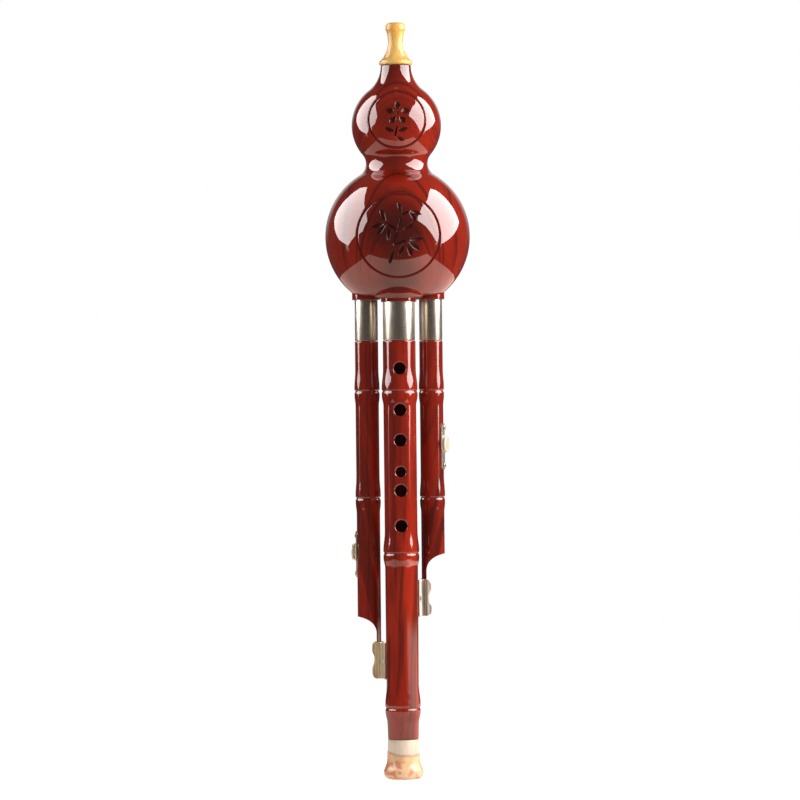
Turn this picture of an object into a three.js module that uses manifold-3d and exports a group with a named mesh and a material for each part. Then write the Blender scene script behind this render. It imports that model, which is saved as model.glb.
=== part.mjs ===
// A hulusi: a gourd wind chest with a mouthpiece, a fingered main pipe and two drone pipes.
// Millimetres, +Z up along the pipes, front facing -Y.
// The origin is on the gourd's axis, level with the lowest edge of the foot.

import * as THREE from 'three';
import { mergeVertices } from 'three/addons/utils/BufferGeometryUtils.js';
import Module from 'manifold-3d';

const wasm = await Module();
wasm.setup();

// Layout of the pipes under the gourd
const CLEARANCE = 0.3;
const OVERRUN = 2;
const MAIN_AXIS_FORWARD = 15.5;
const DRONE_AXIS_SIDE = 18.8;

// Gourd
const LOWER_BULB_RADIUS = 42.2;
const UPPER_BULB_RADIUS = 26.1;
const BULB_SPACING = 65;
const WAIST_FILLET = 8;
const NECK_RADIUS = 8.8;
const NECK_FILLET = 18;
const GOURD_WALL = 2.7;
const BASE_BELOW_BULB_CENTRE = 34.5;
const BASE_FILLET = 8;
const MAIN_BOSS_WALL = 1.6;
const MAIN_BOSS_DROP = 1.9;

// Socket rings in the gourd's base
const MAIN_RING_WALL = 0.8;
const DRONE_RING_WALL = 1.15;
const MAIN_RING_DROP = 3.8;
const DRONE_RING_DROP = 2.2;
const RING_ABOVE_BASE = 9.5;
const RING_EDGE = 0.35;

// Nickel ferrules
const MAIN_FERRULE_RADIUS = 9.25;
const DRONE_FERRULE_RADIUS = 6.7;
const FERRULE_WALL = 0.7;
const FERRULE_SHOWING = 22.3;
const FERRULE_ABOVE_BASE = 7.5;

// Mouthpiece
const MOUTHPIECE_LENGTH = 24.7;
const MOUTHPIECE_LIP_RADIUS = 5.8;
const MOUTHPIECE_THROAT_RADIUS = 4.35;
const MOUTHPIECE_FLANGE_RADIUS = 9.75;
const MOUTHPIECE_BORE_RADIUS = 2;
const SPIGOT_LENGTH = 15;
const SPIGOT_END_LAND = 1.8;
const SPIGOT_CORK_THICKNESS = 0.8;

// Main pipe
const MAIN_PIPE_RADIUS = 9.5;
const MAIN_PIPE_END_RADIUS = 9;
const MAIN_PIPE_LENGTH = 230.9;
const MAIN_BORE_RADIUS = 5.75;
const MAIN_TENON_LENGTH = 16;
const FOOT_TENON_LENGTH = 10;
const FOOT_TENON_RADIUS = 7.4;
const MAIN_NODE_SWELL = 0.9;

// Finger holes
const FINGER_HOLE_RADIUS = 3.5;
const SMALL_FINGER_HOLE_RADIUS = 3;
const THUMB_HOLE_RADIUS = 3.2;
const VENT_HOLE_RADIUS = 2.5;
const CORD_HOLE_RADIUS = 1.6;

// How far down the main pipe its nodes and holes are, from its upper shoulder to its lower one.
// The drones' nodes line up with the same scale.
const mainNodeShares = [0.1256, 0.5331, 0.9216];
const droneNodeShares = [0.1256, 0.3958];
const fingerHoleShares = [0.0697, 0.1741, 0.2503, 0.3296, 0.3768, 0.4651];
const SMALL_FINGER_HOLE = 3;
const thumbHoleShare = 0.0359;
const ventHoleShare = 0.7276;
const cordHoleShare = 0.966;

// Foot ring
const FOOT_HEIGHT = 22.9;
const FOOT_TOP_RADIUS = 9.1;
const FOOT_WAIST_RADIUS = 9.6;
const FOOT_RIM_RADIUS = 11.6;
const FOOT_RIM_HEIGHT = 4.7;
const FOOT_FACE_RADIUS = 9.2;
const FOOT_MOUTH_RADIUS = 7.6;

// Drone pipes
const DRONE_RADIUS = 6.8;
const DRONE_BORE_RADIUS = 3.9;
const LEFT_DRONE_LENGTH = 183.3;
const RIGHT_DRONE_LENGTH = 147;
const DRONE_TENON_LENGTH = 14;
const DRONE_NODE_SWELL = 0.55;
const TONGUE_THICKNESS = 2.7;
const TONGUE_LENGTH = 12.4;
const SCOOP_DEPTH = 10.4;

// Bamboo-like nodes on all pipes
const NODE_UPPER_REACH = 13;
const NODE_LOWER_REACH = 8.7;
const NODE_GROOVE = 0.3;

// Tenon corks
const CORK_THICKNESS = 0.85;
const CORK_LAND = 2.4;
const TENON_RADIAL_GAP = 0.3;

// Reeds inside the gourd
const MAIN_REED_TUBE_RADIUS = 6.5;
const MAIN_REED_BORE_RADIUS = 4.2;
const DRONE_REED_TUBE_RADIUS = 4.5;
const DRONE_REED_BORE_RADIUS = 3;
const mainReedTopShare = 0.4976;
const droneReedTopShare = 0.1185;
const REED_FLANGE_HEIGHT = 2;
const REED_ABOVE_TENON = 0.9;
const REED_SEAL_LENGTH = 11;
const REED_FLAT_DEPTH_MAIN = 1.3;
const REED_FLAT_DEPTH_DRONE = 0.9;
const REED_PLATE_THICKNESS = 0.5;
const MAIN_REED_PLATE_LENGTH = 28;
const DRONE_REED_PLATE_LENGTH = 20;
const REED_PLATE_BELOW_TOP = 9;
const REED_PLATE_MARGIN = 3;
const REED_TONGUE_SLIT = 0.35;
const PLUG_DEPTH = 6;
const PLUG_HEAD_HEIGHT = 1.6;

// Sheet metal clips on the main pipe
const CLIP_HEIGHT = 21.3;
const CLIP_SHEET = 0.8;
const CLIP_CRADLE_GAP = 0.5;
const CLIP_SEAT_GAP = 0.15;
const CLIP_WEB_THICKNESS = 1.7;
const CLIP_OVERLAPS_TONGUE = 8;
const CLIP_WAIST_DEPTH = 1.4;
const CLIP_WAIST_RADIUS = 9;
const CLIP_CORNER = 3;
const CLIP_SADDLE_DEGREES = 38;
const CLIP_CRADLE_DEGREES = 77;
const RIVET_RADIUS = 0.8;
const RIVET_HEAD_RADIUS = 1.5;
const RIVET_HEAD_HEIGHT = 0.7;
const RIVET_DEPTH = 2;
const RIVET_DEGREES = 26;

// Drone switches
const SWITCH_PLATE_LENGTH = 27;
const SWITCH_PLATE_WIDTH = 5.6;
const SWITCH_PLATE_SHEET = 0.5;
const SWITCH_FIT = 0.2;
const SWITCH_SEAT_GAP = 0.1;
const SWITCH_SCREW_SPACING = 22.1;
const SWITCH_SCREW_RADIUS = 0.6;
const SWITCH_SCREW_HEAD_RADIUS = 1.5;
const SWITCH_SCREW_HEAD_HEIGHT = 0.6;
const SWITCH_SCREW_DEPTH = 1.8;
const SLIDER_SHOE_LENGTH = 10.4;
const SLIDER_SHOE_WIDTH = 7;
const SLIDER_SHOE_SHEET = 0.5;
const SLIDER_NECK_RADIUS = 2.6;
const SLIDER_CAP_RADIUS = 4.65;
const SLIDER_CAP_THICKNESS = 0.95;
const SLIDER_CAP_EDGE = 0.3;
const SLIDER_CAP_RISE = 1.75;
const SLIDER_TRAVEL = 5.4;
const SLIDER_ABOVE_PLATE_CENTRE = 1.4;
const TONE_HOLE_RADIUS = 1.5;
const TONE_HOLE_BELOW_CAP = 7.8;
const PLATE_SLOT_WIDTH = 3.6;
const PAD_LENGTH = 8;
const PAD_WIDTH = 2.6;
const LEFT_SWITCH_DEGREES = 168;
const RIGHT_SWITCH_DEGREES = -20;

// How far down each drone its switch is
const leftSwitchShare = 0.6776;
const rightSwitchShare = 0.4204;

// Facet counts
const GOURD_SIDES = 32;
const NECK_SIDES = 20;
const MAIN_SIDES = 24;
const DRONE_SIDES = 20;
const REED_SIDES = 12;
const HOLE_SIDES = 12;
const FASTENER_SIDES = 8;
const DEGREE = Math.PI / 180;
const QUARTER = Math.PI / 2;

// Heights worked out from the foot up
const mainShoulderLow = FOOT_HEIGHT + CLEARANCE;
const shoulder = mainShoulderLow + MAIN_PIPE_LENGTH;
const ferruleBottom = shoulder + CLEARANCE;
const base = ferruleBottom + FERRULE_SHOWING + MAIN_RING_DROP;
const lowerCentre = base + BASE_BELOW_BULB_CENTRE;
const upperCentre = lowerCentre + BULB_SPACING;
const neckTop = upperCentre
  + Math.sqrt((UPPER_BULB_RADIUS + NECK_FILLET) ** 2 - (NECK_RADIUS + NECK_FILLET) ** 2);
const mouthpieceBottom = neckTop + CLEARANCE;

// Where each pipe stands, and the sizes that go with it
const mainPlace = new THREE.Vector2(0, -MAIN_AXIS_FORWARD);
const droneRing = DRONE_FERRULE_RADIUS + CLEARANCE + DRONE_RING_WALL;
const mainRing = MAIN_FERRULE_RADIUS + CLEARANCE + MAIN_RING_WALL;

const MAIN = {
  side: 'main',
  sides: MAIN_SIDES,
  place: mainPlace,
  ferrule: MAIN_FERRULE_RADIUS,
  ring: mainRing,
  ringBottom: base - MAIN_RING_DROP,
  tenonTop: shoulder + MAIN_TENON_LENGTH,
  reedTube: MAIN_REED_TUBE_RADIUS,
  reedBore: MAIN_REED_BORE_RADIUS,
  reedTop: lowerCentre + LOWER_BULB_RADIUS * mainReedTopShare,
  reedPlate: MAIN_REED_PLATE_LENGTH,
  reedFlat: REED_FLAT_DEPTH_MAIN,
};

const LEFT = {
  side: 'left',
  sides: DRONE_SIDES,
  place: new THREE.Vector2(-DRONE_AXIS_SIDE, 0),
  ferrule: DRONE_FERRULE_RADIUS,
  ring: droneRing,
  ringBottom: base - DRONE_RING_DROP,
  tenonTop: shoulder + DRONE_TENON_LENGTH,
  reedTube: DRONE_REED_TUBE_RADIUS,
  reedBore: DRONE_REED_BORE_RADIUS,
  reedTop: lowerCentre + LOWER_BULB_RADIUS * droneReedTopShare,
  reedPlate: DRONE_REED_PLATE_LENGTH,
  reedFlat: REED_FLAT_DEPTH_DRONE,
  tip: shoulder - LEFT_DRONE_LENGTH,
  switchCentre: shoulder - LEFT_DRONE_LENGTH * leftSwitchShare,
  switchTurn: LEFT_SWITCH_DEGREES * DEGREE,
  inward: 1,
};

const RIGHT = {
  ...LEFT,
  side: 'right',
  place: new THREE.Vector2(DRONE_AXIS_SIDE, 0),
  tip: shoulder - RIGHT_DRONE_LENGTH,
  switchCentre: shoulder - RIGHT_DRONE_LENGTH * rightSwitchShare,
  switchTurn: RIGHT_SWITCH_DEGREES * DEGREE,
  inward: -1,
};

// Materials
function finish(color, roughness, metalness) {
  return () => new THREE.MeshStandardMaterial({ color, roughness, metalness });
}

const lacquer = finish(0x86241a, 0.18, 0);
const nickel = finish(0xb9b4ab, 0.3, 1);
const amber = finish(0xffc477, 0.35, 0);
const marbled = finish(0xf2d2a8, 0.25, 0);
const cork = finish(0xb98a5a, 0.9, 0);
const reedPlastic = finish(0x2b2622, 0.5, 0);
const brass = finish(0xc79a4a, 0.35, 1);
const clipMetal = finish(0xa8977f, 0.35, 1);
const rubber = finish(0x1d1a19, 0.8, 0);

const hulusi = new THREE.Group();

function add(name, geometry, material, place) {
  const mesh = new THREE.Mesh(geometry, material());
  mesh.name = name;
  if (place) mesh.position.set(place.x, place.y, 0);
  hulusi.add(mesh);
}

// Solids and booleans

// Merges a closed geometry's shared vertices, drops the triangles that shrink to nothing on an
// axis, and makes it a solid.
function solid(geometry) {
  const bare = geometry.clone();
  bare.deleteAttribute('normal');
  bare.deleteAttribute('uv');
  const merged = mergeVertices(bare);
  const index = merged.index.array;
  const corners = [];
  for (let i = 0; i < index.length; i += 3) {
    const [a, b, c] = [index[i], index[i + 1], index[i + 2]];
    if (a !== b && b !== c && c !== a) corners.push(a, b, c);
  }
  return new wasm.Manifold(new wasm.Mesh({
    numProp: 3,
    vertProperties: new Float32Array(merged.attributes.position.array),
    triVerts: new Uint32Array(corners),
  }));
}

function shown(body) {
  const mesh = body.getMesh();
  const geometry = new THREE.BufferGeometry();
  geometry.setAttribute('position', new THREE.BufferAttribute(mesh.vertProperties, 3));
  geometry.setIndex(new THREE.BufferAttribute(mesh.triVerts, 1));
  geometry.computeVertexNormals();
  return geometry;
}

// A solid turned about Z from [radius, height] points, anticlockwise with the outside going up.
function turned(points, sides) {
  const profile = points.map(([r, z]) => new THREE.Vector2(r, z));
  return solid(new THREE.LatheGeometry(profile, sides).rotateX(QUARTER));
}

function rod(radius, bottom, top, sides) {
  return turned([[0, bottom], [radius, bottom], [radius, top], [0, top]], sides);
}

function tube(outer, inner, bottom, top, sides, edge = 0) {
  return turned([
    [inner, bottom], [outer - edge, bottom], [outer, bottom + edge],
    [outer, top], [inner, top], [inner, bottom],
  ], sides);
}

// A rod along +X from one distance to another, at a height
function rodOut(radius, from, to, height, sides) {
  const geometry = new THREE.CylinderGeometry(radius, radius, to - from, sides);
  geometry.rotateZ(-QUARTER).translate((from + to) / 2, 0, height);
  return solid(geometry);
}

function block(sizeX, sizeY, bottom, top, x, y) {
  const geometry = new THREE.BoxGeometry(sizeX, sizeY, top - bottom);
  return solid(geometry.translate(x, y, (bottom + top) / 2));
}

// An outline in X and Z, pushed out by depth to both sides along Y
function slabXZ(shape, depth) {
  const options = { depth: 2 * depth, bevelEnabled: false, curveSegments: 8 };
  const geometry = new THREE.ExtrudeGeometry(shape, options);
  return solid(geometry.translate(0, 0, -depth).rotateX(QUARTER));
}

// An outline in Y and Z, pushed out along X
function slabYZ(shape, from, to) {
  const options = { depth: to - from, bevelEnabled: false, curveSegments: 6 };
  const geometry = new THREE.ExtrudeGeometry(shape, options);
  geometry.translate(0, 0, from).rotateX(QUARTER).rotateZ(QUARTER);
  return solid(geometry);
}

// A curved sheet about Z, between two angles
function curvedSheet(inner, outer, fromAngle, toAngle, bottom, top, steps) {
  const shape = new THREE.Shape();
  for (let i = 0; i <= steps; i += 1) {
    const angle = fromAngle + (toAngle - fromAngle) * i / steps;
    if (i === 0) shape.moveTo(outer * Math.cos(angle), outer * Math.sin(angle));
    else shape.lineTo(outer * Math.cos(angle), outer * Math.sin(angle));
  }
  for (let i = steps; i >= 0; i -= 1) {
    const angle = fromAngle + (toAngle - fromAngle) * i / steps;
    shape.lineTo(inner * Math.cos(angle), inner * Math.sin(angle));
  }
  shape.closePath();
  const geometry = new THREE.ExtrudeGeometry(shape, { depth: top - bottom, bevelEnabled: false });
  return solid(geometry.translate(0, 0, bottom));
}

function arc(centreR, centreZ, radius, fromAngle, toAngle, steps) {
  const points = [];
  for (let i = 0; i <= steps; i += 1) {
    const angle = fromAngle + (toAngle - fromAngle) * i / steps;
    points.push([centreR + radius * Math.cos(angle), centreZ + radius * Math.sin(angle)]);
  }
  return points;
}

function turnBody(body, angle) {
  return body.rotate([0, 0, angle / DEGREE]);
}

// Gourd
// Two balls joined by a fillet at the waist, with a flat base and a flared neck. Inset takes the
// whole outline in by that much, for the hollow. Steps are the facets along each of its arcs.
const outsideSteps = { edge: 2, lower: 9, waist: 4, upper: 7, neck: 4 };
const hollowSteps = { edge: 2, lower: 7, waist: 3, upper: 5, neck: 3 };

function gourdOutline(inset, steps) {
  const lower = LOWER_BULB_RADIUS - inset;
  const upper = UPPER_BULB_RADIUS - inset;
  const waist = WAIST_FILLET + inset;
  const neckFillet = NECK_FILLET + inset;
  const neck = NECK_RADIUS - inset;
  const edge = BASE_FILLET - inset;
  const bottom = base + inset;
  const edgeR = Math.sqrt((lower - edge) ** 2 - (lowerCentre - bottom - edge) ** 2);
  const edgeAngle = Math.atan2(bottom + edge - lowerCentre, edgeR);
  const waistRise = ((lower + waist) ** 2 - (upper + waist) ** 2 + BULB_SPACING ** 2)
    / (2 * BULB_SPACING);
  const waistR = Math.sqrt((lower + waist) ** 2 - waistRise ** 2);
  const waistZ = lowerCentre + waistRise;
  const toWaist = Math.atan2(waistRise, waistR);
  const fromWaist = Math.atan2(waistZ - upperCentre, waistR);
  const toNeck = Math.atan2(neckTop - upperCentre, neck + neckFillet);
  return [
    [0, bottom],
    ...arc(edgeR, bottom + edge, edge, -QUARTER, edgeAngle, steps.edge).slice(0, -1),
    ...arc(0, lowerCentre, lower, edgeAngle, toWaist, steps.lower).slice(0, -1),
    ...arc(waistR, waistZ, waist, Math.PI + toWaist, Math.PI + fromWaist, steps.waist)
      .slice(0, -1),
    ...arc(0, upperCentre, upper, fromWaist, toNeck, steps.upper).slice(0, -1),
    ...arc(neck + neckFillet, neckTop, neckFillet, Math.PI + toNeck, Math.PI, steps.neck),
  ];
}

function gourdBody() {
  const outside = turned([...gourdOutline(0, outsideSteps), [0, neckTop]], GOURD_SIDES);
  const neckBore = NECK_RADIUS - GOURD_WALL;
  const inside = turned([
    ...gourdOutline(GOURD_WALL, hollowSteps),
    [neckBore, neckTop + OVERRUN],
    [0, neckTop + OVERRUN],
  ], NECK_SIDES);
  const mainHole = MAIN.ring + CLEARANCE;
  const bossTop = base + RING_ABOVE_BASE;
  const boss = rod(mainHole + MAIN_BOSS_WALL, base - MAIN_BOSS_DROP, bossTop, MAIN_SIDES)
    .translate([MAIN.place.x, MAIN.place.y, 0]);
  const bored = outside.add(boss).subtract(inside);
  return [MAIN, LEFT, RIGHT].reduce((body, pipe) => {
    const bottom = pipe.ringBottom - OVERRUN;
    const hole = rod(pipe.ring + CLEARANCE, bottom, bossTop + OVERRUN, pipe.sides);
    return body.subtract(hole.translate([pipe.place.x, pipe.place.y, 0]));
  }, bored);
}

add('gourd_body', shown(gourdBody()), lacquer);

// Socket rings and ferrules
function socketRing(pipe) {
  const inner = pipe.ferrule + CLEARANCE;
  const top = base + RING_ABOVE_BASE;
  return shown(tube(pipe.ring, inner, pipe.ringBottom, top, pipe.sides, RING_EDGE));
}

function ferrule(pipe) {
  const inner = pipe.ferrule - FERRULE_WALL;
  return shown(tube(pipe.ferrule, inner, ferruleBottom, base + FERRULE_ABOVE_BASE, pipe.sides));
}

// Reeds: a tube that stands in the ferrule, sealed with cork, closed by a plug, with a flat and a
// window that the brass plate covers
function reedSizes(pipe) {
  const bottom = pipe.tenonTop + REED_ABOVE_TENON;
  const top = pipe.reedTop;
  const plateTop = top - REED_PLATE_BELOW_TOP;
  const flat = pipe.reedTube - pipe.reedFlat;
  return {
    bottom,
    top,
    plateTop,
    plateBottom: plateTop - pipe.reedPlate,
    seat: pipe.ferrule - FERRULE_WALL - CLEARANCE,
    flat,
    plateWidth: 2 * Math.sqrt(pipe.reedTube ** 2 - flat ** 2) - CLEARANCE,
    windowWidth: pipe.reedBore * reedWindowShare,
  };
}

const reedWindowShare = 0.8;
const tongueTipShare = 0.3;

function reedTube(pipe) {
  const at = reedSizes(pipe);
  const sealTop = at.bottom + REED_FLANGE_HEIGHT;
  const body = turned([
    [pipe.reedBore, at.bottom], [at.seat, at.bottom], [at.seat, sealTop],
    [pipe.reedTube, sealTop], [pipe.reedTube, at.top], [pipe.reedBore, at.top],
    [pipe.reedBore, at.bottom],
  ], REED_SIDES);
  const milled = block(2 * pipe.reedTube, OVERRUN + pipe.reedFlat, at.plateBottom - CLEARANCE,
    at.plateTop + CLEARANCE, 0, at.flat + (OVERRUN + pipe.reedFlat) / 2);
  const window = block(at.windowWidth, pipe.reedTube, at.plateBottom + REED_PLATE_MARGIN,
    at.plateTop - REED_PLATE_MARGIN, 0, pipe.reedTube / 2);
  return shown(body.subtract(milled).subtract(window));
}

function reedSeal(pipe) {
  const at = reedSizes(pipe);
  const bottom = at.bottom + REED_FLANGE_HEIGHT + CLEARANCE;
  const inner = pipe.reedTube + CLEARANCE;
  return shown(tube(at.seat, inner, bottom, bottom + REED_SEAL_LENGTH, REED_SIDES));
}

function reedPlug(pipe) {
  const at = reedSizes(pipe);
  const inside = pipe.reedBore - CLEARANCE;
  const head = at.top + CLEARANCE;
  return shown(turned([
    [0, at.top - PLUG_DEPTH], [inside, at.top - PLUG_DEPTH], [inside, head],
    [pipe.reedTube, head], [pipe.reedTube, head + PLUG_HEAD_HEIGHT], [0, head + PLUG_HEAD_HEIGHT],
  ], REED_SIDES));
}

// The plate's tongue is freed by one pointed slit and stays joined to the plate at its root.
function reedPlate(pipe) {
  const at = reedSizes(pipe);
  const half = at.plateWidth / 2;
  const root = at.plateBottom + REED_PLATE_MARGIN + REED_TONGUE_SLIT;
  const tip = at.plateTop - REED_PLATE_MARGIN - REED_TONGUE_SLIT;
  const wide = at.windowWidth / 2 - REED_TONGUE_SLIT;
  const tongueWide = wide - REED_TONGUE_SLIT;
  const tongueNarrow = tongueWide * tongueTipShare;
  const narrow = tongueNarrow + REED_TONGUE_SLIT;
  const outline = new THREE.Shape();
  outline.moveTo(-half, at.plateBottom);
  outline.lineTo(half, at.plateBottom);
  outline.lineTo(half, at.plateTop);
  outline.lineTo(-half, at.plateTop);
  outline.closePath();
  const slit = new THREE.Path();
  slit.moveTo(-wide, root);
  slit.lineTo(-tongueWide, root);
  slit.lineTo(-tongueNarrow, tip - REED_TONGUE_SLIT);
  slit.lineTo(tongueNarrow, tip - REED_TONGUE_SLIT);
  slit.lineTo(tongueWide, root);
  slit.lineTo(wide, root);
  slit.lineTo(narrow, tip);
  slit.lineTo(-narrow, tip);
  slit.closePath();
  outline.holes.push(slit);
  const near = at.flat + CLEARANCE;
  const options = { depth: REED_PLATE_THICKNESS, bevelEnabled: false };
  const plate = new THREE.ExtrudeGeometry(outline, options);
  return shown(solid(plate.rotateX(QUARTER).translate(0, near + REED_PLATE_THICKNESS, 0)));
}

for (const pipe of [MAIN, LEFT, RIGHT]) {
  add(`${pipe.side}_socket_ring`, socketRing(pipe), lacquer, pipe.place);
  add(`${pipe.side}_ferrule`, ferrule(pipe), nickel, pipe.place);
  add(`${pipe.side}_reed_tube`, reedTube(pipe), reedPlastic, pipe.place);
  add(`${pipe.side}_reed_seal`, reedSeal(pipe), cork, pipe.place);
  add(`${pipe.side}_reed_plug`, reedPlug(pipe), reedPlastic, pipe.place);
  add(`${pipe.side}_reed_plate`, reedPlate(pipe), brass, pipe.place);
}

// Mouthpiece
const spigotRadius = NECK_RADIUS - GOURD_WALL - CLEARANCE;
const spigotGroove = spigotRadius - SPIGOT_CORK_THICKNESS - CLEARANCE;

// Heights up the mouthpiece, and how far each point is between the throat and the lip or flange.
const mouthpieceFlangeShares = [[0, 1], [0.08, 1], [0.17, 0.65], [0.27, 0.34], [0.36, 0.14]];
const mouthpieceLipShares = [[0.56, 0], [0.7, 0.25], [0.85, 1], [0.94, 0.85], [1, 0.1]];

function mouthpiece() {
  const bottom = mouthpieceBottom;
  const top = bottom + MOUTHPIECE_LENGTH;
  const between = (shares, radius) => shares.map(([up, out]) => [
    MOUTHPIECE_THROAT_RADIUS + (radius - MOUTHPIECE_THROAT_RADIUS) * out,
    bottom + (top - bottom) * up,
  ]);
  const spigotBottom = bottom - SPIGOT_LENGTH;
  const land = spigotBottom + SPIGOT_END_LAND;
  return shown(turned([
    [MOUTHPIECE_BORE_RADIUS, spigotBottom],
    [spigotRadius, spigotBottom],
    [spigotRadius, land],
    [spigotGroove, land],
    [spigotGroove, bottom - SPIGOT_END_LAND],
    [spigotRadius, bottom - SPIGOT_END_LAND],
    [spigotRadius, bottom],
    ...between(mouthpieceFlangeShares, MOUTHPIECE_FLANGE_RADIUS),
    ...between(mouthpieceLipShares, MOUTHPIECE_LIP_RADIUS),
    [MOUTHPIECE_BORE_RADIUS, top],
    [MOUTHPIECE_BORE_RADIUS, spigotBottom],
  ], NECK_SIDES));
}

function mouthpieceCork() {
  const bottom = mouthpieceBottom - SPIGOT_LENGTH + SPIGOT_END_LAND + CLEARANCE;
  const top = mouthpieceBottom - SPIGOT_END_LAND - CLEARANCE;
  return shown(tube(spigotRadius, spigotGroove + CLEARANCE, bottom, top, NECK_SIDES));
}

add('mouthpiece', mouthpiece(), amber);
add('mouthpiece_cork', mouthpieceCork(), cork);

// Pipes
// One bamboo-like node, from above: how far up or down its reach, and the share of its swell.
const nodeUpperShares = [[1, 0], [0.5, 0.55], [0.14, 1]];
const nodeLowerShares = [[0.2, 1], [0.6, 0.72], [1, 0]];

function nodePoints(radiusAt, height, swell) {
  const upper = nodeUpperShares.map(([reach, out]) => [reach * NODE_UPPER_REACH, out * swell]);
  const lower = nodeLowerShares.map(([reach, out]) => [-reach * NODE_LOWER_REACH, out * swell]);
  return [...upper, [0, swell - NODE_GROOVE], ...lower].reverse()
    .map(([rise, out]) => [radiusAt(height + rise) + out, height + rise]);
}

// The groove round a tenon that its cork sits in
function corkGroove(pipe) {
  const outer = pipe.ferrule - FERRULE_WALL - TENON_RADIAL_GAP;
  return {
    outer,
    inner: outer - CORK_THICKNESS - CLEARANCE,
    bottom: shoulder + CORK_LAND,
    top: pipe.tenonTop - CORK_LAND,
  };
}

function tenonPoints(pipe) {
  const groove = corkGroove(pipe);
  return [
    [groove.outer, shoulder],
    [groove.outer, groove.bottom],
    [groove.inner, groove.bottom],
    [groove.inner, groove.top],
    [groove.outer, groove.top],
    [groove.outer, pipe.tenonTop],
  ];
}

function tenonCork(pipe) {
  const groove = corkGroove(pipe);
  return shown(tube(groove.outer, groove.inner + CLEARANCE, groove.bottom + CLEARANCE,
    groove.top - CLEARANCE, pipe.sides));
}

function holeAt(radius, pipeRadius, height, angle) {
  return turnBody(rodOut(radius, 0, pipeRadius + OVERRUN, height, HOLE_SIDES), angle);
}

// The main pipe keeps its radius down to its last node and tapers a little from there to the foot.
function heightAt(share) {
  return shoulder - MAIN_PIPE_LENGTH * share;
}

const taperStart = heightAt(mainNodeShares[mainNodeShares.length - 1]);

function mainRadiusAt(height) {
  const share = Math.max(0, (taperStart - height) / (taperStart - mainShoulderLow));
  return MAIN_PIPE_RADIUS - (MAIN_PIPE_RADIUS - MAIN_PIPE_END_RADIUS) * share;
}

function mainPipe() {
  const nodes = [...mainNodeShares].reverse()
    .flatMap((share) => nodePoints(mainRadiusAt, heightAt(share), MAIN_NODE_SWELL));
  let pipe = turned([
    [MAIN_BORE_RADIUS, mainShoulderLow - FOOT_TENON_LENGTH],
    [FOOT_TENON_RADIUS, mainShoulderLow - FOOT_TENON_LENGTH],
    [FOOT_TENON_RADIUS, mainShoulderLow],
    [MAIN_PIPE_END_RADIUS, mainShoulderLow],
    ...nodes,
    [MAIN_PIPE_RADIUS, shoulder],
    ...tenonPoints(MAIN),
    [MAIN_BORE_RADIUS, MAIN.tenonTop],
    [MAIN_BORE_RADIUS, mainShoulderLow - FOOT_TENON_LENGTH],
  ], MAIN_SIDES);
  fingerHoleShares.forEach((share, i) => {
    const radius = i === SMALL_FINGER_HOLE ? SMALL_FINGER_HOLE_RADIUS : FINGER_HOLE_RADIUS;
    pipe = pipe.subtract(holeAt(radius, MAIN_PIPE_RADIUS, heightAt(share), -QUARTER));
  });
  const backHoles = [
    [THUMB_HOLE_RADIUS, thumbHoleShare],
    [VENT_HOLE_RADIUS, ventHoleShare],
    [CORD_HOLE_RADIUS, cordHoleShare],
  ];
  for (const [radius, share] of backHoles) {
    pipe = pipe.subtract(holeAt(radius, MAIN_PIPE_RADIUS, heightAt(share), QUARTER));
  }
  for (const drone of [LEFT, RIGHT]) {
    pipe = pipe.subtract(clipSeat(drone));
    for (const angle of clipSizes(drone).rivetAngles) pipe = pipe.subtract(rivetHole(drone, angle));
  }
  return shown(pipe);
}

function footRing() {
  const socket = FOOT_TENON_RADIUS + CLEARANCE;
  const socketBottom = mainShoulderLow - FOOT_TENON_LENGTH - CLEARANCE;
  const rimArc = arc(FOOT_RIM_RADIUS - FOOT_RIM_HEIGHT * footRimShare, FOOT_RIM_HEIGHT,
    FOOT_RIM_HEIGHT * footRimShare, -QUARTER * footRimTurnShare, QUARTER * footRimTurnShare, 3);
  return shown(turned([
    [FOOT_MOUTH_RADIUS, 0],
    [FOOT_FACE_RADIUS, 0],
    ...rimArc,
    [FOOT_WAIST_RADIUS + (FOOT_RIM_RADIUS - FOOT_WAIST_RADIUS) * footFlareShare,
      FOOT_RIM_HEIGHT + (FOOT_HEIGHT - FOOT_RIM_HEIGHT) * footFlareShare],
    [FOOT_WAIST_RADIUS, FOOT_HEIGHT * footWaistShare],
    [FOOT_TOP_RADIUS, FOOT_HEIGHT],
    [socket, FOOT_HEIGHT],
    [socket, socketBottom],
    [MAIN_BORE_RADIUS, socketBottom],
    [MAIN_BORE_RADIUS, FOOT_RIM_HEIGHT],
    [FOOT_MOUTH_RADIUS, 0],
  ], MAIN_SIDES));
}

const footRimShare = 0.62;
const footRimTurnShare = 0.62;
const footFlareShare = 0.24;
const footWaistShare = 0.54;

// The drone's end is scooped from the outside in, which leaves a tongue on the side towards the
// main pipe.
const scoopBendShare = 0.18;

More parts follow.
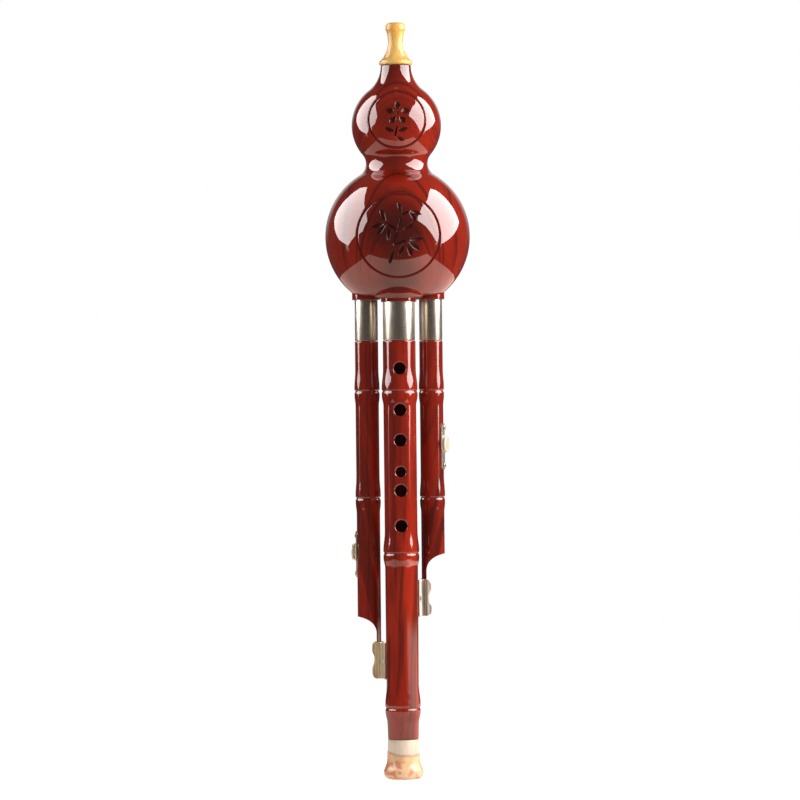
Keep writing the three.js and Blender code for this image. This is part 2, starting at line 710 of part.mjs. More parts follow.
function dronePipe(pipe) {
  const radiusAt = () => DRONE_RADIUS;
  const nodes = [...droneNodeShares].reverse()
    .flatMap((share) => nodePoints(radiusAt, heightAt(share), DRONE_NODE_SWELL));
  const body = turned([
    [DRONE_BORE_RADIUS, pipe.tip],
    [DRONE_RADIUS, pipe.tip],
    ...nodes,
    [DRONE_RADIUS, shoulder],
    ...tenonPoints(pipe),
    [DRONE_BORE_RADIUS, pipe.tenonTop],
    [DRONE_BORE_RADIUS, pipe.tip],
  ], DRONE_SIDES);
  const root = pipe.tip + TONGUE_LENGTH;
  const outside = -pipe.inward * (DRONE_RADIUS + OVERRUN);
  const face = pipe.inward * (DRONE_RADIUS - TONGUE_THICKNESS);
  const scoop = new THREE.Shape();
  scoop.moveTo(outside, pipe.tip - OVERRUN);
  scoop.lineTo(outside, root + SCOOP_DEPTH);
  scoop.lineTo(-pipe.inward * DRONE_RADIUS, root + SCOOP_DEPTH);
  scoop.quadraticCurveTo(face, root + SCOOP_DEPTH * (1 - scoopBendShare), face, root);
  scoop.lineTo(face, pipe.tip - OVERRUN);
  scoop.closePath();
  const toneHole = holeAt(TONE_HOLE_RADIUS, DRONE_RADIUS, capCentre(pipe) - TONE_HOLE_BELOW_CAP,
    pipe.switchTurn);
  const screwHoles = screwHeights(pipe).map((height) => {
    const reach = DRONE_RADIUS - SWITCH_SCREW_DEPTH - CLEARANCE;
    const radius = SWITCH_SCREW_RADIUS + CLEARANCE;
    const hole = rodOut(radius, reach, DRONE_RADIUS + OVERRUN, height, HOLE_SIDES);
    return turnBody(hole, pipe.switchTurn);
  });
  const cuts = [slabXZ(scoop, DRONE_RADIUS + OVERRUN), plateSeat(pipe), toneHole, ...screwHoles];
  return shown(cuts.reduce((whole, cut) => whole.subtract(cut), body));
}

// Clips
// Seen from above: a saddle that hugs the main pipe, a folded web and a cradle round the drone's
// tongue.
function clipSizes(drone) {
  const apart = drone.place.clone().sub(MAIN.place);
  const towards = Math.atan2(apart.y, apart.x);
  const turn = RIVET_DEGREES * DEGREE;
  const top = drone.tip + CLIP_OVERLAPS_TONGUE;
  return {
    apart,
    towards,
    top,
    bottom: top - CLIP_HEIGHT,
    middle: top - CLIP_HEIGHT / 2,
    saddle: MAIN_PIPE_RADIUS + CLEARANCE,
    cradle: DRONE_RADIUS + CLIP_CRADLE_GAP,
    rivetAngles: [towards - turn, towards + turn],
  };
}

// Where a node would run under a saddle, it is cut back to clear it.
function clipSeat(drone) {
  const at = clipSizes(drone);
  const turn = CLIP_SADDLE_DEGREES * DEGREE + CLEARANCE / MAIN_PIPE_RADIUS;
  return curvedSheet(MAIN_PIPE_RADIUS + CLIP_SEAT_GAP, at.saddle + CLIP_SHEET + OVERRUN,
    at.towards - turn, at.towards + turn, at.bottom - CLEARANCE, at.top + CLEARANCE, 8);
}

function rivetHole(drone, angle) {
  const reach = MAIN_PIPE_RADIUS - RIVET_DEPTH - CLEARANCE;
  const end = clipSizes(drone).saddle + CLIP_SHEET + OVERRUN;
  const hole = rodOut(RIVET_RADIUS + CLEARANCE, reach, end, clipSizes(drone).middle, HOLE_SIDES);
  return turnBody(hole, angle);
}

function clip(drone) {
  const at = clipSizes(drone);
  const saddleTurn = CLIP_SADDLE_DEGREES * DEGREE;
  const cradleTurn = CLIP_CRADLE_DEGREES * DEGREE;
  const saddle = curvedSheet(at.saddle, at.saddle + CLIP_SHEET, at.towards - saddleTurn,
    at.towards + saddleTurn, at.bottom, at.top, 8);
  const facing = drone.inward > 0 ? 0 : Math.PI;
  const cradle = curvedSheet(at.cradle, at.cradle + CLIP_SHEET, facing - cradleTurn,
    facing + cradleTurn, at.bottom, at.top, 10).translate([at.apart.x, at.apart.y, 0]);
  const webFrom = at.saddle + CLIP_SHEET / 2;
  const webTo = at.apart.length() - at.cradle - CLIP_SHEET / 2;
  const web = turnBody(block(webTo - webFrom, CLIP_WEB_THICKNESS, at.bottom, at.top,
    (webFrom + webTo) / 2, 0), at.towards);
  const edge = drone.inward * (at.cradle + CLIP_SHEET) * Math.cos(cradleTurn);
  const notch = solid(new THREE.CylinderGeometry(CLIP_WAIST_RADIUS, CLIP_WAIST_RADIUS,
    2 * (at.cradle + OVERRUN), DRONE_SIDES));
  const waist = notch.translate([
    at.apart.x + edge - drone.inward * (CLIP_WAIST_RADIUS - CLIP_WAIST_DEPTH), at.apart.y, at.middle,
  ]);
  const corners = [at.bottom, at.top].map((height) => {
    const square = new THREE.CylinderGeometry(CLIP_CORNER, CLIP_CORNER, 2 * (at.cradle + OVERRUN), 4);
    return solid(square).translate([at.apart.x + edge, at.apart.y, height]);
  });
  let sheet = saddle.add(web).add(cradle).subtract(waist);
  for (const corner of corners) sheet = sheet.subtract(corner);
  for (const angle of at.rivetAngles) sheet = sheet.subtract(rivetHole(drone, angle));
  return shown(sheet);
}

// A fastener along +X: a shank that ends at one distance and a low head that sits over another
function fastener(shankRadius, headRadius, headHeight, from, seat, height, angle) {
  const top = seat + headHeight;
  const profile = [
    [0, from], [shankRadius, from], [shankRadius, seat], [headRadius, seat],
    [headRadius, seat + headHeight * headEdgeShare], [headRadius * headCrownShare, top], [0, top],
  ];
  const body = turned(profile, FASTENER_SIDES).rotate([0, 90, 0]).translate([0, 0, height]);
  return turnBody(body, angle);
}

const headEdgeShare = 0.45;
const headCrownShare = 0.7;

function rivet(drone, angle) {
  const at = clipSizes(drone);
  const seat = at.saddle + CLIP_SHEET + CLEARANCE;
  return shown(fastener(RIVET_RADIUS, RIVET_HEAD_RADIUS, RIVET_HEAD_HEIGHT,
    MAIN_PIPE_RADIUS - RIVET_DEPTH, seat, at.middle, angle));
}

// Switches
// Each is laid out along +X and then turned to its side of the drone.
function capCentre(pipe) {
  return pipe.switchCentre + SLIDER_ABOVE_PLATE_CENTRE;
}

function screwHeights(pipe) {
  const half = SWITCH_SCREW_SPACING / 2;
  return [pipe.switchCentre + half, pipe.switchCentre - half];
}

const plateInner = DRONE_RADIUS + SWITCH_FIT;
const plateOuter = plateInner + SWITCH_PLATE_SHEET;
const shoeInner = plateOuter + SWITCH_FIT;
const shoeOuter = shoeInner + SLIDER_SHOE_SHEET;
const capInner = DRONE_RADIUS + SLIDER_CAP_RISE;

// An upright oval in Y and Z with straight sides and round ends
function oval(width, length, centre) {
  const radius = width / 2;
  const reach = length / 2 - radius;
  const shape = new THREE.Shape();
  shape.moveTo(radius, centre - reach);
  shape.lineTo(radius, centre + reach);
  shape.absarc(0, centre + reach, radius, 0, Math.PI, false);
  shape.lineTo(-radius, centre - reach);
  shape.absarc(0, centre - reach, radius, Math.PI, 2 * Math.PI, false);
  return shape;
}

function sheetPatch(inner, outer, width, length, centre) {
  const reach = length / 2 + OVERRUN;
  const turn = Math.asin(Math.min(1, (width / 2 + OVERRUN) / inner));
  const sheet = curvedSheet(inner, outer, -turn, turn, centre - reach, centre + reach, 6);
  return sheet.intersect(slabYZ(oval(width, length, centre), 0, outer + OVERRUN));
}

// Where a node would run under a switch plate, it is cut back to clear it.
function plateSeat(pipe) {
  const seat = sheetPatch(DRONE_RADIUS + SWITCH_SEAT_GAP, plateOuter + OVERRUN,
    SWITCH_PLATE_WIDTH + 2 * CLEARANCE, SWITCH_PLATE_LENGTH + 2 * CLEARANCE, pipe.switchCentre);
  return turnBody(seat, pipe.switchTurn);
}

function switchPlate(pipe) {
  const centre = pipe.switchCentre;
  let plate = sheetPatch(plateInner, plateOuter, SWITCH_PLATE_WIDTH, SWITCH_PLATE_LENGTH, centre);
  const slotTop = capCentre(pipe) + PAD_LENGTH / 2 + CLEARANCE;
  const slotBottom = capCentre(pipe) - SLIDER_TRAVEL - PAD_LENGTH / 2 - CLEARANCE;
  const slot = oval(PLATE_SLOT_WIDTH, slotTop - slotBottom, (slotTop + slotBottom) / 2);
  plate = plate.subtract(slabYZ(slot, 0, plateOuter + OVERRUN));
  for (const height of screwHeights(pipe)) {
    const radius = SWITCH_SCREW_RADIUS + CLEARANCE;
    plate = plate.subtract(rodOut(radius, 0, plateOuter + OVERRUN, height, HOLE_SIDES));
  }
  return shown(turnBody(plate, pipe.switchTurn));
}

function switchScrew(pipe, height) {
  return shown(fastener(SWITCH_SCREW_RADIUS, SWITCH_SCREW_HEAD_RADIUS, SWITCH_SCREW_HEAD_HEIGHT,
    DRONE_RADIUS - SWITCH_SCREW_DEPTH, plateOuter + SWITCH_FIT, height, pipe.switchTurn));
}

function slider(pipe) {
  const centre = capCentre(pipe);
  const capOuter = capInner + SLIDER_CAP_THICKNESS;
  const shoe = sheetPatch(shoeInner, shoeOuter, SLIDER_SHOE_WIDTH, SLIDER_SHOE_LENGTH, centre);
  const knob = turned([
    [0, (shoeInner + shoeOuter) / 2],
    [SLIDER_NECK_RADIUS, (shoeInner + shoeOuter) / 2],
    [SLIDER_NECK_RADIUS, capInner],
    [SLIDER_CAP_RADIUS - SLIDER_CAP_EDGE, capInner],
    [SLIDER_CAP_RADIUS, capInner + SLIDER_CAP_EDGE],
    [SLIDER_CAP_RADIUS, capOuter - SLIDER_CAP_EDGE],
    [SLIDER_CAP_RADIUS - SLIDER_CAP_EDGE, capOuter],
    [0, capOuter],
  ], DRONE_SIDES).rotate([0, 90, 0]).translate([0, 0, centre]);
  return shown(turnBody(shoe.add(knob), pipe.switchTurn));
}

function sliderPad(pipe) {
  const pad = sheetPatch(plateInner, plateOuter, PAD_WIDTH, PAD_LENGTH, capCentre(pipe));
  return shown(turnBody(pad, pipe.switchTurn));
}

add('main_pipe', mainPipe(), lacquer, MAIN.place);
add('main_tenon_cork', tenonCork(MAIN), cork, MAIN.place);
add('foot_ring', footRing(), marbled, MAIN.place);

for (const drone of [LEFT, RIGHT]) {
  const name = drone.side;
  const [frontRivet, rearRivet] = clipSizes(drone).rivetAngles
    .toSorted((a, b) => Math.sin(a) - Math.sin(b));
  const [upperScrew, lowerScrew] = screwHeights(drone);
  add(`${name}_clip`, clip(drone), clipMetal, MAIN.place);
  add(`${name}_clip_front_rivet`, rivet(drone, frontRivet), clipMetal, MAIN.place);
  add(`${name}_clip_rear_rivet`, rivet(drone, rearRivet), clipMetal, MAIN.place);
  add(`${name}_drone_pipe`, dronePipe(drone), lacquer, drone.place);
  add(`${name}_tenon_cork`, tenonCork(drone), cork, drone.place);
  add(`${name}_switch_plate`, switchPlate(drone), nickel, drone.place);
  add(`${name}_switch_upper_screw`, switchScrew(drone, upperScrew), nickel, drone.place);
  add(`${name}_switch_lower_screw`, switchScrew(drone, lowerScrew), nickel, drone.place);
  add(`${name}_switch_slider`, slider(drone), nickel, drone.place);
  add(`${name}_slider_pad`, sliderPad(drone), rubber, drone.place);
}

export default hulusi;
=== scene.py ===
"""The hulusi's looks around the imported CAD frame. Sizes are in millimetres until a mesh is made."""

import math

import bpy
import bmesh
import numpy as np
from mathutils import Matrix, Vector


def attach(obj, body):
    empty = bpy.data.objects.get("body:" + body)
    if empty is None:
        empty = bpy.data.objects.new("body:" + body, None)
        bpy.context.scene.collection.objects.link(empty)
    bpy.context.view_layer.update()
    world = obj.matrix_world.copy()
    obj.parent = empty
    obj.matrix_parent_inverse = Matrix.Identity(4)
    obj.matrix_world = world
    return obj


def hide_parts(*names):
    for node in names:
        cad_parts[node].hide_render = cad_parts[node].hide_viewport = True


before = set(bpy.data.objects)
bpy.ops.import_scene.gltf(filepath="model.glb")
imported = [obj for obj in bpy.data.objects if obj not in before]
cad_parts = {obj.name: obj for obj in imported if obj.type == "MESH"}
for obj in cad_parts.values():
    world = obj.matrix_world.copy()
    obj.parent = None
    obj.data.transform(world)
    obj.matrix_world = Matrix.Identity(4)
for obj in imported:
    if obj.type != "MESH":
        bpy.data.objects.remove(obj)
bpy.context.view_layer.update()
MM = 0.001
DEGREE = math.pi / 180
QUARTER = math.pi / 2

# Sizes and places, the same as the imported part's
GAP = 0.3
MAIN_Y = -15.5
DRONE_X = 18.8
SHOULDER = 254.1
FERRULE_BOTTOM = 254.4
FERRULE_TOP = 288.0
FERRULE_WALL = 0.7
SOCKET_TOP = 290.0
BASE = 280.5
LOWER_Z = 315.0
UPPER_Z = 380.0
LOWER_R = 42.2
UPPER_R = 26.1
BASE_FILLET = 8.0
WAIST_FILLET = 8.0
NECK_R = 8.8
NECK_FILLET = 18.0
NECK_TOP = UPPER_Z + math.sqrt((UPPER_R + NECK_FILLET) ** 2 - (NECK_R + NECK_FILLET) ** 2)
GOURD_WALL = 2.7
MAIN_LENGTH = 230.9
MAIN_R = 9.5
MAIN_END_R = 9.0
MAIN_BORE = 5.75
MAIN_TENON_R = 8.25
MAIN_TENON = 16.0
DRONE_R = 6.8
DRONE_BORE = 3.9
DRONE_TENON_R = 5.7
DRONE_TENON = 14.0
CORK = 0.85
FOOT_HEIGHT = 22.9
FOOT_TENON = 10.0
CLIP_HEIGHT = 21.3
CLIP_OVER_TONGUE = 8.0
RIVET_TURN = 26 * DEGREE
SCREW_RISE = 11.05
SLIDER_TRAVEL = 5.4
RIVET_HOLE_R = 1.1
SCREW_HOLE_R = 0.9
TONE_HOLE_R = 1.5
TONE_HOLE_BELOW_CAP = 7.8
CAP_ABOVE_PLATE = 1.4


# Meshes

def make(name, verts, faces):
    mesh = bpy.data.meshes.new(name)
    mesh.from_pydata([tuple(v) for v in np.asarray(verts, float) * MM], [], faces)
    mesh.update()
    work = bmesh.new()
    work.from_mesh(mesh)
    bmesh.ops.recalc_face_normals(work, faces=work.faces)
    work.to_mesh(mesh)
    work.free()
    obj = bpy.data.objects.new(name, mesh)
    bpy.context.scene.collection.objects.link(obj)
    return obj


def loop_faces(rows, sides, closed):
    """Quads between rings of points. A closed mesh also joins the last ring to the first."""
    faces = []
    for i in range(rows if closed else rows - 1):
        a, b = i * sides, (i + 1) % rows * sides
        for j in range(sides):
            k = (j + 1) % sides
            faces.append((a + j, a + k, b + k, b + j))
    return faces


def stack(name, outlines):
    """A solid through flat outlines that have the same number of points"""
    count = len(outlines[0])
    verts = np.array(outlines, float).reshape(-1, 3)
    faces = loop_faces(len(outlines), count, False)
    faces += [tuple(range(count)), tuple(range(len(verts) - 1, len(verts) - count - 1, -1))]
    return make(name, verts, faces)


def tube(name, sides, column_at):
    """A closed ring of columns of points, one at each angle"""
    columns = [column_at(j * 2 * math.pi / sides) for j in range(sides)]
    verts = np.array(columns).transpose(1, 0, 2)
    return make(name, verts.reshape(-1, 3), loop_faces(len(verts), sides, True))


def lathe(name, profile, sides, place=(0, 0)):
    """Turns [radius, height] points about Z. Points on the axis at both ends close the shape there;
    otherwise the profile is a closed ring."""
    profile = np.array(profile, float)
    poles = profile[0, 0] < 1e-6
    rings = profile[1:-1] if poles else profile
    turn = np.arange(sides) * 2 * math.pi / sides
    x = place[0] + np.outer(rings[:, 0], np.cos(turn))
    y = place[1] + np.outer(rings[:, 0], np.sin(turn))
    z = np.repeat(rings[:, 1:2], sides, axis=1)
    verts = np.stack([x, y, z], -1).reshape(-1, 3)
    faces = loop_faces(len(rings), sides, not poles)
    if poles:
        first, last = len(verts), len(verts) + 1
        verts = np.vstack([verts, [(*place, profile[0, 1]), (*place, profile[-1, 1])]])
        start = (len(rings) - 1) * sides
        for j in range(sides):
            k = (j + 1) % sides
            faces += [(first, k, j), (last, start + j, start + k)]
    return make(name, verts, faces)


def rounded(points, radius, steps, closed=True):
    """A profile with its corners rounded"""
    out = []
    count = len(points)
    for i, point in enumerate(points):
        here = Vector(point)
        back = Vector(points[i - 1]) - here
        on = Vector(points[(i + 1) % count]) - here
        angle = back.angle(on)
        if (not closed and i in (0, count - 1)) or angle > math.pi - 0.05:
            out.append(tuple(here))
            continue
        reach = min(radius / math.tan(angle / 2), back.length * 0.45, on.length * 0.45)
        r = reach * math.tan(angle / 2)
        middle = here + (back.normalized() + on.normalized()).normalized() * (r / math.sin(angle / 2))
        a = here + back.normalized() * reach - middle
        b = here + on.normalized() * reach - middle
        full = a.angle_signed(b)
        for step in range(steps + 1):
            spin = -full * step / steps
            c, s = math.cos(spin), math.sin(spin)
            out.append((middle.x + a.x * c - a.y * s, middle.y + a.x * s + a.y * c))
    return out


def swing(centre, radius, start, end, count):
    """Points at even steps along an arc"""
    turns = (start + (end - start) * i / count for i in range(count + 1))
    return [(centre[0] + radius * math.cos(t), centre[1] + radius * math.sin(t)) for t in turns]


def arc(cr, cz, radius, start, end, step):
    return swing((cr, cz), radius, start, end, max(2, int(abs(end - start) * radius / step)))


def spline(points, step):
    """A smooth curve through points that never swings past them, as [x, y] at even steps of x"""
    x = np.array([p[0] for p in points], float)
    y = np.array([p[1] for p in points], float)
    h = np.diff(x)
    slope = np.diff(y) / h
    tangent = np.zeros(len(x))
    for i in range(1, len(x) - 1):
        if slope[i - 1] * slope[i] > 0:
            w1, w2 = 2 * h[i] + h[i - 1], h[i] + 2 * h[i - 1]
            tangent[i] = (w1 + w2) / (w1 / slope[i - 1] + w2 / slope[i])
    out = []
    for i in range(len(h)):
        count = max(1, round(h[i] / step))
        for k in range(count):
            t = k / count
            out.append((x[i] + t * h[i],
                        (2 * t ** 3 - 3 * t ** 2 + 1) * y[i] + (t ** 3 - 2 * t ** 2 + t) * h[i] * tangent[i]
                        + (3 * t ** 2 - 2 * t ** 3) * y[i + 1] + (t ** 3 - t ** 2) * h[i] * tangent[i + 1]))
    return out + [(x[-1], y[-1])]


def rod(radius, start, end, sides):
    """A rod between two points"""
    start, end = Vector(start), Vector(end)
    length = (end - start).length
    obj = lathe("cutter", [(0, 0), (radius, 0), (radius, length), (0, length)], sides)
    turn = (end - start).to_track_quat("Z", "Y").to_matrix().to_4x4()
    obj.data.transform(Matrix.Translation(start * MM) @ turn)
    return obj


def sector(inner, outer, middle, half, bottom, top, place, steps):
    """A curved sheet between two angles"""
    turn = np.linspace(middle - half, middle + half, steps + 1)
    flat = [(outer * math.cos(a), outer * math.sin(a)) for a in turn]
    flat += [(inner * math.cos(a), inner * math.sin(a)) for a in turn[::-1]]
    return stack("sector", [[(x + place[0], y + place[1], z) for x, y in flat] for z in (bottom, top)])


def combine(target, others, operation="DIFFERENCE"):
    """Cuts or adds the others, and takes them out of the scene"""
    for other in others:
        step = target.modifiers.new("step", "BOOLEAN")
        step.operation = operation
        step.solver = "MANIFOLD"
        step.object = other
    bpy.context.view_layer.update()
    mesh = bpy.data.meshes.new_from_object(target.evaluated_get(bpy.context.evaluated_depsgraph_get()))
    target.modifiers.clear()
    target.data = mesh
    for other in others:
        bpy.data.objects.remove(other)
    return target


def smooth(obj, degrees=35):
    obj.data.shade_smooth()
    obj.data.set_sharp_from_angle(angle=degrees * DEGREE)
    return obj


def dress(obj, nodes, body, slot, *materials, inside=None):
    """Finishes a piece: its materials, body and the CAD nodes that it stands for. Inside gives the
    number of a face's material from its centre in millimetres."""
    obj.data.materials.clear()
    for material in materials:
        obj.data.materials.append(material)
    for face in obj.data.polygons:
        face.material_index = int(inside(face.center / MM)) if inside else 0
    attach(obj, body)
    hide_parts(*nodes)


# Shaders

def numbered(values):
    """Values by the numbers of the inputs that they go to"""
    return {f"i{n}": value for n, value in enumerate(values)}


class Value:
    """An output of a node. Sums, products and the like of values add the nodes that work them out."""

    def __init__(self, nodes, socket):
        self.nodes, self.socket = nodes, socket

    def __add__(self, other):
        return self.nodes.math("ADD", self, other)

    def __sub__(self, other):
        return self.nodes.math("SUBTRACT", self, other)

    def __rsub__(self, other):
        return self.nodes.math("SUBTRACT", other, self)

    def __mul__(self, other):
        return self.nodes.math("MULTIPLY", self, other)

    def __truediv__(self, other):
        return self.nodes.math("DIVIDE", self, other)

    __radd__ = __add__
    __rmul__ = __mul__


class Nodes:
    """Adds nodes to a tree. An input goes by its name, or by the letter i and its number."""

    def __init__(self, tree):
        self.tree = tree

    def put(self, socket, value):
        if isinstance(value, Value):
            self.tree.links.new(value.socket, socket)
        else:
            socket.default_value = value

    def out(self, kind, settings=None, output=0, **values):
        node = self.tree.nodes.new("ShaderNode" + kind)
        for key, value in (settings or {}).items():
            setattr(node, key, value)
        for key, value in values.items():
            numbered = key[0] == "i" and key[1:].isdigit()
            self.put(node.inputs[int(key[1:]) if numbered else key.replace("_", " ")], value)
        return Value(self, node.outputs[output])

    def math(self, operation, *values):
        return self.out("Math", {"operation": operation}, **numbered(values))

    def vector(self, operation, *values):
        output = "Value" if operation == "LENGTH" else "Vector"
        return self.out("VectorMath", {"operation": operation}, output, **numbered(values))

    def parts(self, vector):
        return [self.out("SeparateXYZ", None, n, i0=vector) for n in range(3)]

    def between(self, value, low, high, at_low, at_high):
        """From one number at low to another at high"""
        return self.out("MapRange", i0=value, i1=low, i2=high, i3=at_low, i4=at_high)

    def step(self, value, low, high):
        """0 at low and 1 at high, with a smooth way between them"""
        return self.out("MapRange", {"interpolation_type": "SMOOTHSTEP"}, i0=value, i1=low, i2=high)

    def ray(self, kind):
        return self.out("LightPath", None, f"Is {kind} Ray")


class Shader(Nodes):
    """A material whose place is in the object's own metres"""

    def __init__(self, name):
        self.material = bpy.data.materials.new(name)
        self.material.use_nodes = True
        super().__init__(self.material.node_tree)
        self.surface = self.tree.nodes["Principled BSDF"]
        self.place = self.out("TexCoord", None, "Object")

    def noise(self, scale, detail=2.0, rough=0.5, offset=(0, 0, 0), distortion=0.0, place=None):
        """Noise whose scale is in cells per millimetre along each axis"""
        moved = self.vector("ADD", place or self.place, tuple(o * MM for o in offset))
        stretched = self.vector("MULTIPLY", moved, tuple(s / MM for s in scale))
        return self.out("TexNoise", Vector=stretched, Scale=1.0, Detail=detail, Roughness=rough,
                        Distortion=distortion)

    def ramp(self, factor, stops):
        """A blend of colours, or of greys where a stop is a number"""
        ramp = self.out("ValToRGB", i0=factor)
        band = ramp.socket.node.color_ramp
        while len(band.elements) > 1:
            band.elements.remove(band.elements[0])
        for i, (at, color) in enumerate(stops):
            point = band.elements[0] if i == 0 else band.elements.new(at)
            point.position = at
            point.color = (*color, 1) if isinstance(color, tuple) else (color, color, color, 1)
        return ramp

    def mix(self, factor, a, b):
        a, b = ((*color, 1) if isinstance(color, tuple) else color for color in (a, b))
        return self.out("Mix", {"data_type": "RGBA", "blend_type": "MIX"}, 2, i0=factor, i6=a, i7=b)

    def finish(self, **values):
        for key, value in values.items():
            if isinstance(value, tuple) and key.endswith("Color"):
                value = (*value, 1)
            self.put(self.surface.inputs[key.replace("_", " ")], value)
        return self.material

    def show(self, obj, shader):
        """Puts a shader of its own on a thing of the stage"""
        self.put(self.tree.nodes["Material Output"].inputs[0], shader)
        obj.data.materials.append(self.material)


def srgb(r, g, b):
    return tuple(((c / 255 + 0.055) / 1.055) ** 2.4 if c > 10 else c / 255 / 12.92 for c in (r, g, b))


LACQUER = dict(Roughness=0.5, Specular_IOR_Level=0.0, Coat_Weight=1.0, Coat_Roughness=0.025, Coat_IOR=1.85)
RING_STOPS = [(0.0, 0.8), (0.05, 0.2), (0.25, 0.0), (0.7, 0.08), (0.9, 0.4), (0.975, 1.0)]
WOOD_SHADES = [(0.3, (134, 30, 16)), (0.5, (154, 37, 18)), (0.72, (168, 45, 22))]


def wood(name, heart, spacing, tint=1.0, arching=0.0, figure=1.0, lines=0.6, shift=(0, 0, 0), streaks=0.0,
         lean=0.0, arches=(), painted_front_shades=()):
    """Stained hardwood under lacquer. Growth rings run about an upright axis behind the piece, or
    arch across it. Arches are rings with a height and strength of their own. The front shades are
    darker patches painted only at the front: painted shade for the dimmer light that falls there."""
    s = Shader(name)
    moved = s.vector("ADD", s.place, tuple(o * MM for o in shift))
    x, y, z = s.parts(s.vector("MULTIPLY", moved, (1 / MM,) * 3))
    slow = s.noise((0.03, 0.03, 0.012), offset=shift)
    wave = s.noise((0.11, 0.11, 0.03), offset=(40, 0, 0))
    dx, dy = x - heart[0], y - heart[1]
    out = s.math("SQRT", dx * dx + dy * dy)
    steep, facing = 1.0, 1.0
    if arching:
        facing = s.step(s.math("ABSOLUTE", y), 1.5, 10.0) * (s.step(z, 284.0, 312.0) * 0.7 + 0.3)
        below = s.out("Clamp", i0=(z - LOWER_Z) / LOWER_R, i1=-0.8, i2=0.0)
        dx = dx / s.math("SQRT", 1.0 - below * below)
        square = dx * dx
        out = z + square * (square * 4e-5 + arching)
        tilt = dx * (square * 16e-5 + 2 * arching)
        deep = y * y
        share = deep / (deep + x * x + 0.01)
        steep = s.math("SQRT", share * (tilt * tilt) + 1.0)
    bent = out + ((slow - 0.5) * (7 * figure) + (wave - 0.5) * (1.2 * figure))
    ring = bent / spacing
    one = s.out("TexWhiteNoise", {"noise_dimensions": "1D"}, W=s.math("FLOOR", ring))
    line = s.ramp(s.math("FRACT", ring), RING_STOPS) * ((s.math("POWER", one, 2.0) + 0.12) * lines)
    tone = s.noise((0.05, 0.05, 0.018), offset=(0, 70, 0))
    fibre = s.noise((1.3, 1.3, 0.045), 4.0, 0.6, (0, 0, 90))
    pore = s.noise((3.2, 3.2, 0.13), offset=(15, 0, 0))
    color = s.ramp(tone, [(at, srgb(*(c * tint for c in shade))) for at, shade in WOOD_SHADES])
    color = s.mix(line * facing / s.math("SQRT", steep), color, srgb(50, 12, 9))
    color = s.mix(s.step(fibre, 0.42, 0.75) * 0.3, color, srgb(90, 20, 13))
    color = s.mix(s.step(pore, 0.6, 0.74) * 0.3, color, srgb(54, 13, 10))
    for at, strength in arches:
        near = s.step(s.math("ABSOLUTE", bent - at) / steep, 1.45, 0.1)
        color = s.mix(near * (facing * strength), color, srgb(56, 14, 10))
    if streaks:
        leaning = s.vector("MULTIPLY", s.out("CombineXYZ", i0=x - z * lean, i1=y, i2=z), (MM,) * 3)
        blot = s.noise((0.2, 0.12, 0.012), 2.0, 0.5, (0, 0, 30), 0.4, leaning)
        low = s.step(z, 230 + shift[2], 150 + shift[2]) * 0.65 + 0.35
        color = s.mix(s.step(blot, 0.42, 0.58) * (low * streaks), color, srgb(46, 19, 13))
    # Painted shade: darker patches, at the front only, standing in for the dimmer light on the front.
    for gx, gz, radius, strength in painted_front_shades:
        there = s.vector("LENGTH", s.out("CombineXYZ", i0=x - gx, i1=0.0, i2=z - gz))
        near = s.step(there, radius, radius * 0.2) * s.step(y, 0.0, -2.0)
        color = s.mix(near * strength, color, srgb(46, 14, 11))
    skin = s.noise((0.28, 0.28, 0.1), 1.0, 0.4, (0, 25, 0))
    bump = s.out("Bump", Strength=0.04, Distance=0.0003, Height=skin)
    return s.finish(Base_Color=color, Coat_Normal=bump, **LACQUER)


def flat_shader(name, color, change, scale, rough, **values):
    """One colour with a little slow change in it, and roughness that follows it"""
    s = Shader(name)
    grain = s.noise(scale, 3.0)
    dark = tuple(c * (1 - change) for c in color)
    light = tuple(min(1, c * (1 + change)) for c in color)
    return s.finish(Base_Color=s.ramp(grain, [(0.3, dark), (0.7, light)]),
                    Roughness=s.between(grain, 0.3, 0.7, rough * 0.85, rough * 1.15), **values)


def bore_shader():
    """The raw inside of the pipes and the gourd"""
    s = Shader("raw_bore")
    fibre = s.noise((0.8, 0.8, 0.05), 3.0)
    color = s.ramp(fibre, [(0.3, srgb(104, 42, 34)), (0.7, srgb(144, 62, 50))])
    return s.finish(Base_Color=color, Roughness=0.8)


def nickel_shader(name, pale, dull, metallic):
    """Satin nickel: fine brushing round the tube and faint cloudy tarnish"""
    s = Shader(name)
    brush = s.noise((0.2, 0.2, 5.0), 3.0, 0.6)
    cloud = s.noise((0.12, 0.12, 0.06), 3.0, 0.5, (0, 0, 60))
    color = s.mix(brush * 0.3, s.ramp(cloud, [(0.3, dull), (0.7, pale)]), dull)
    return s.finish(Base_Color=color, Roughness=s.between(brush, 0.25, 0.75, 0.26, 0.34), Metallic=metallic)


def clip_shader(name, pale, dark, offset):
    """Folded sheet metal. Its pale and dark streaks up the fold are painted reflections of the curved sheet,
    with small darker specks.
    """
    s = Shader(name)
    streak = s.noise((0.6, 0.6, 0.014), offset=offset)
    fine = s.noise((3.0, 3.0, 0.2), offset=offset)
    # Painted reflections: the dark and pale streaks stand in for what the curved sheet mirrors.
    tone = s.ramp(streak, [(0.36, dark), (0.62, pale)])
    color = s.mix(s.step(fine, 0.55, 0.75) * 0.3, tone, tuple(c * 0.6 for c in dark))
    bump = s.out("Bump", Strength=0.2, Distance=0.0002, Height=streak)
    rough = s.between(streak, 0.3, 0.7, 0.42, 0.3)
    return s.finish(Base_Color=color, Roughness=rough, Normal=bump, Metallic=0.5)


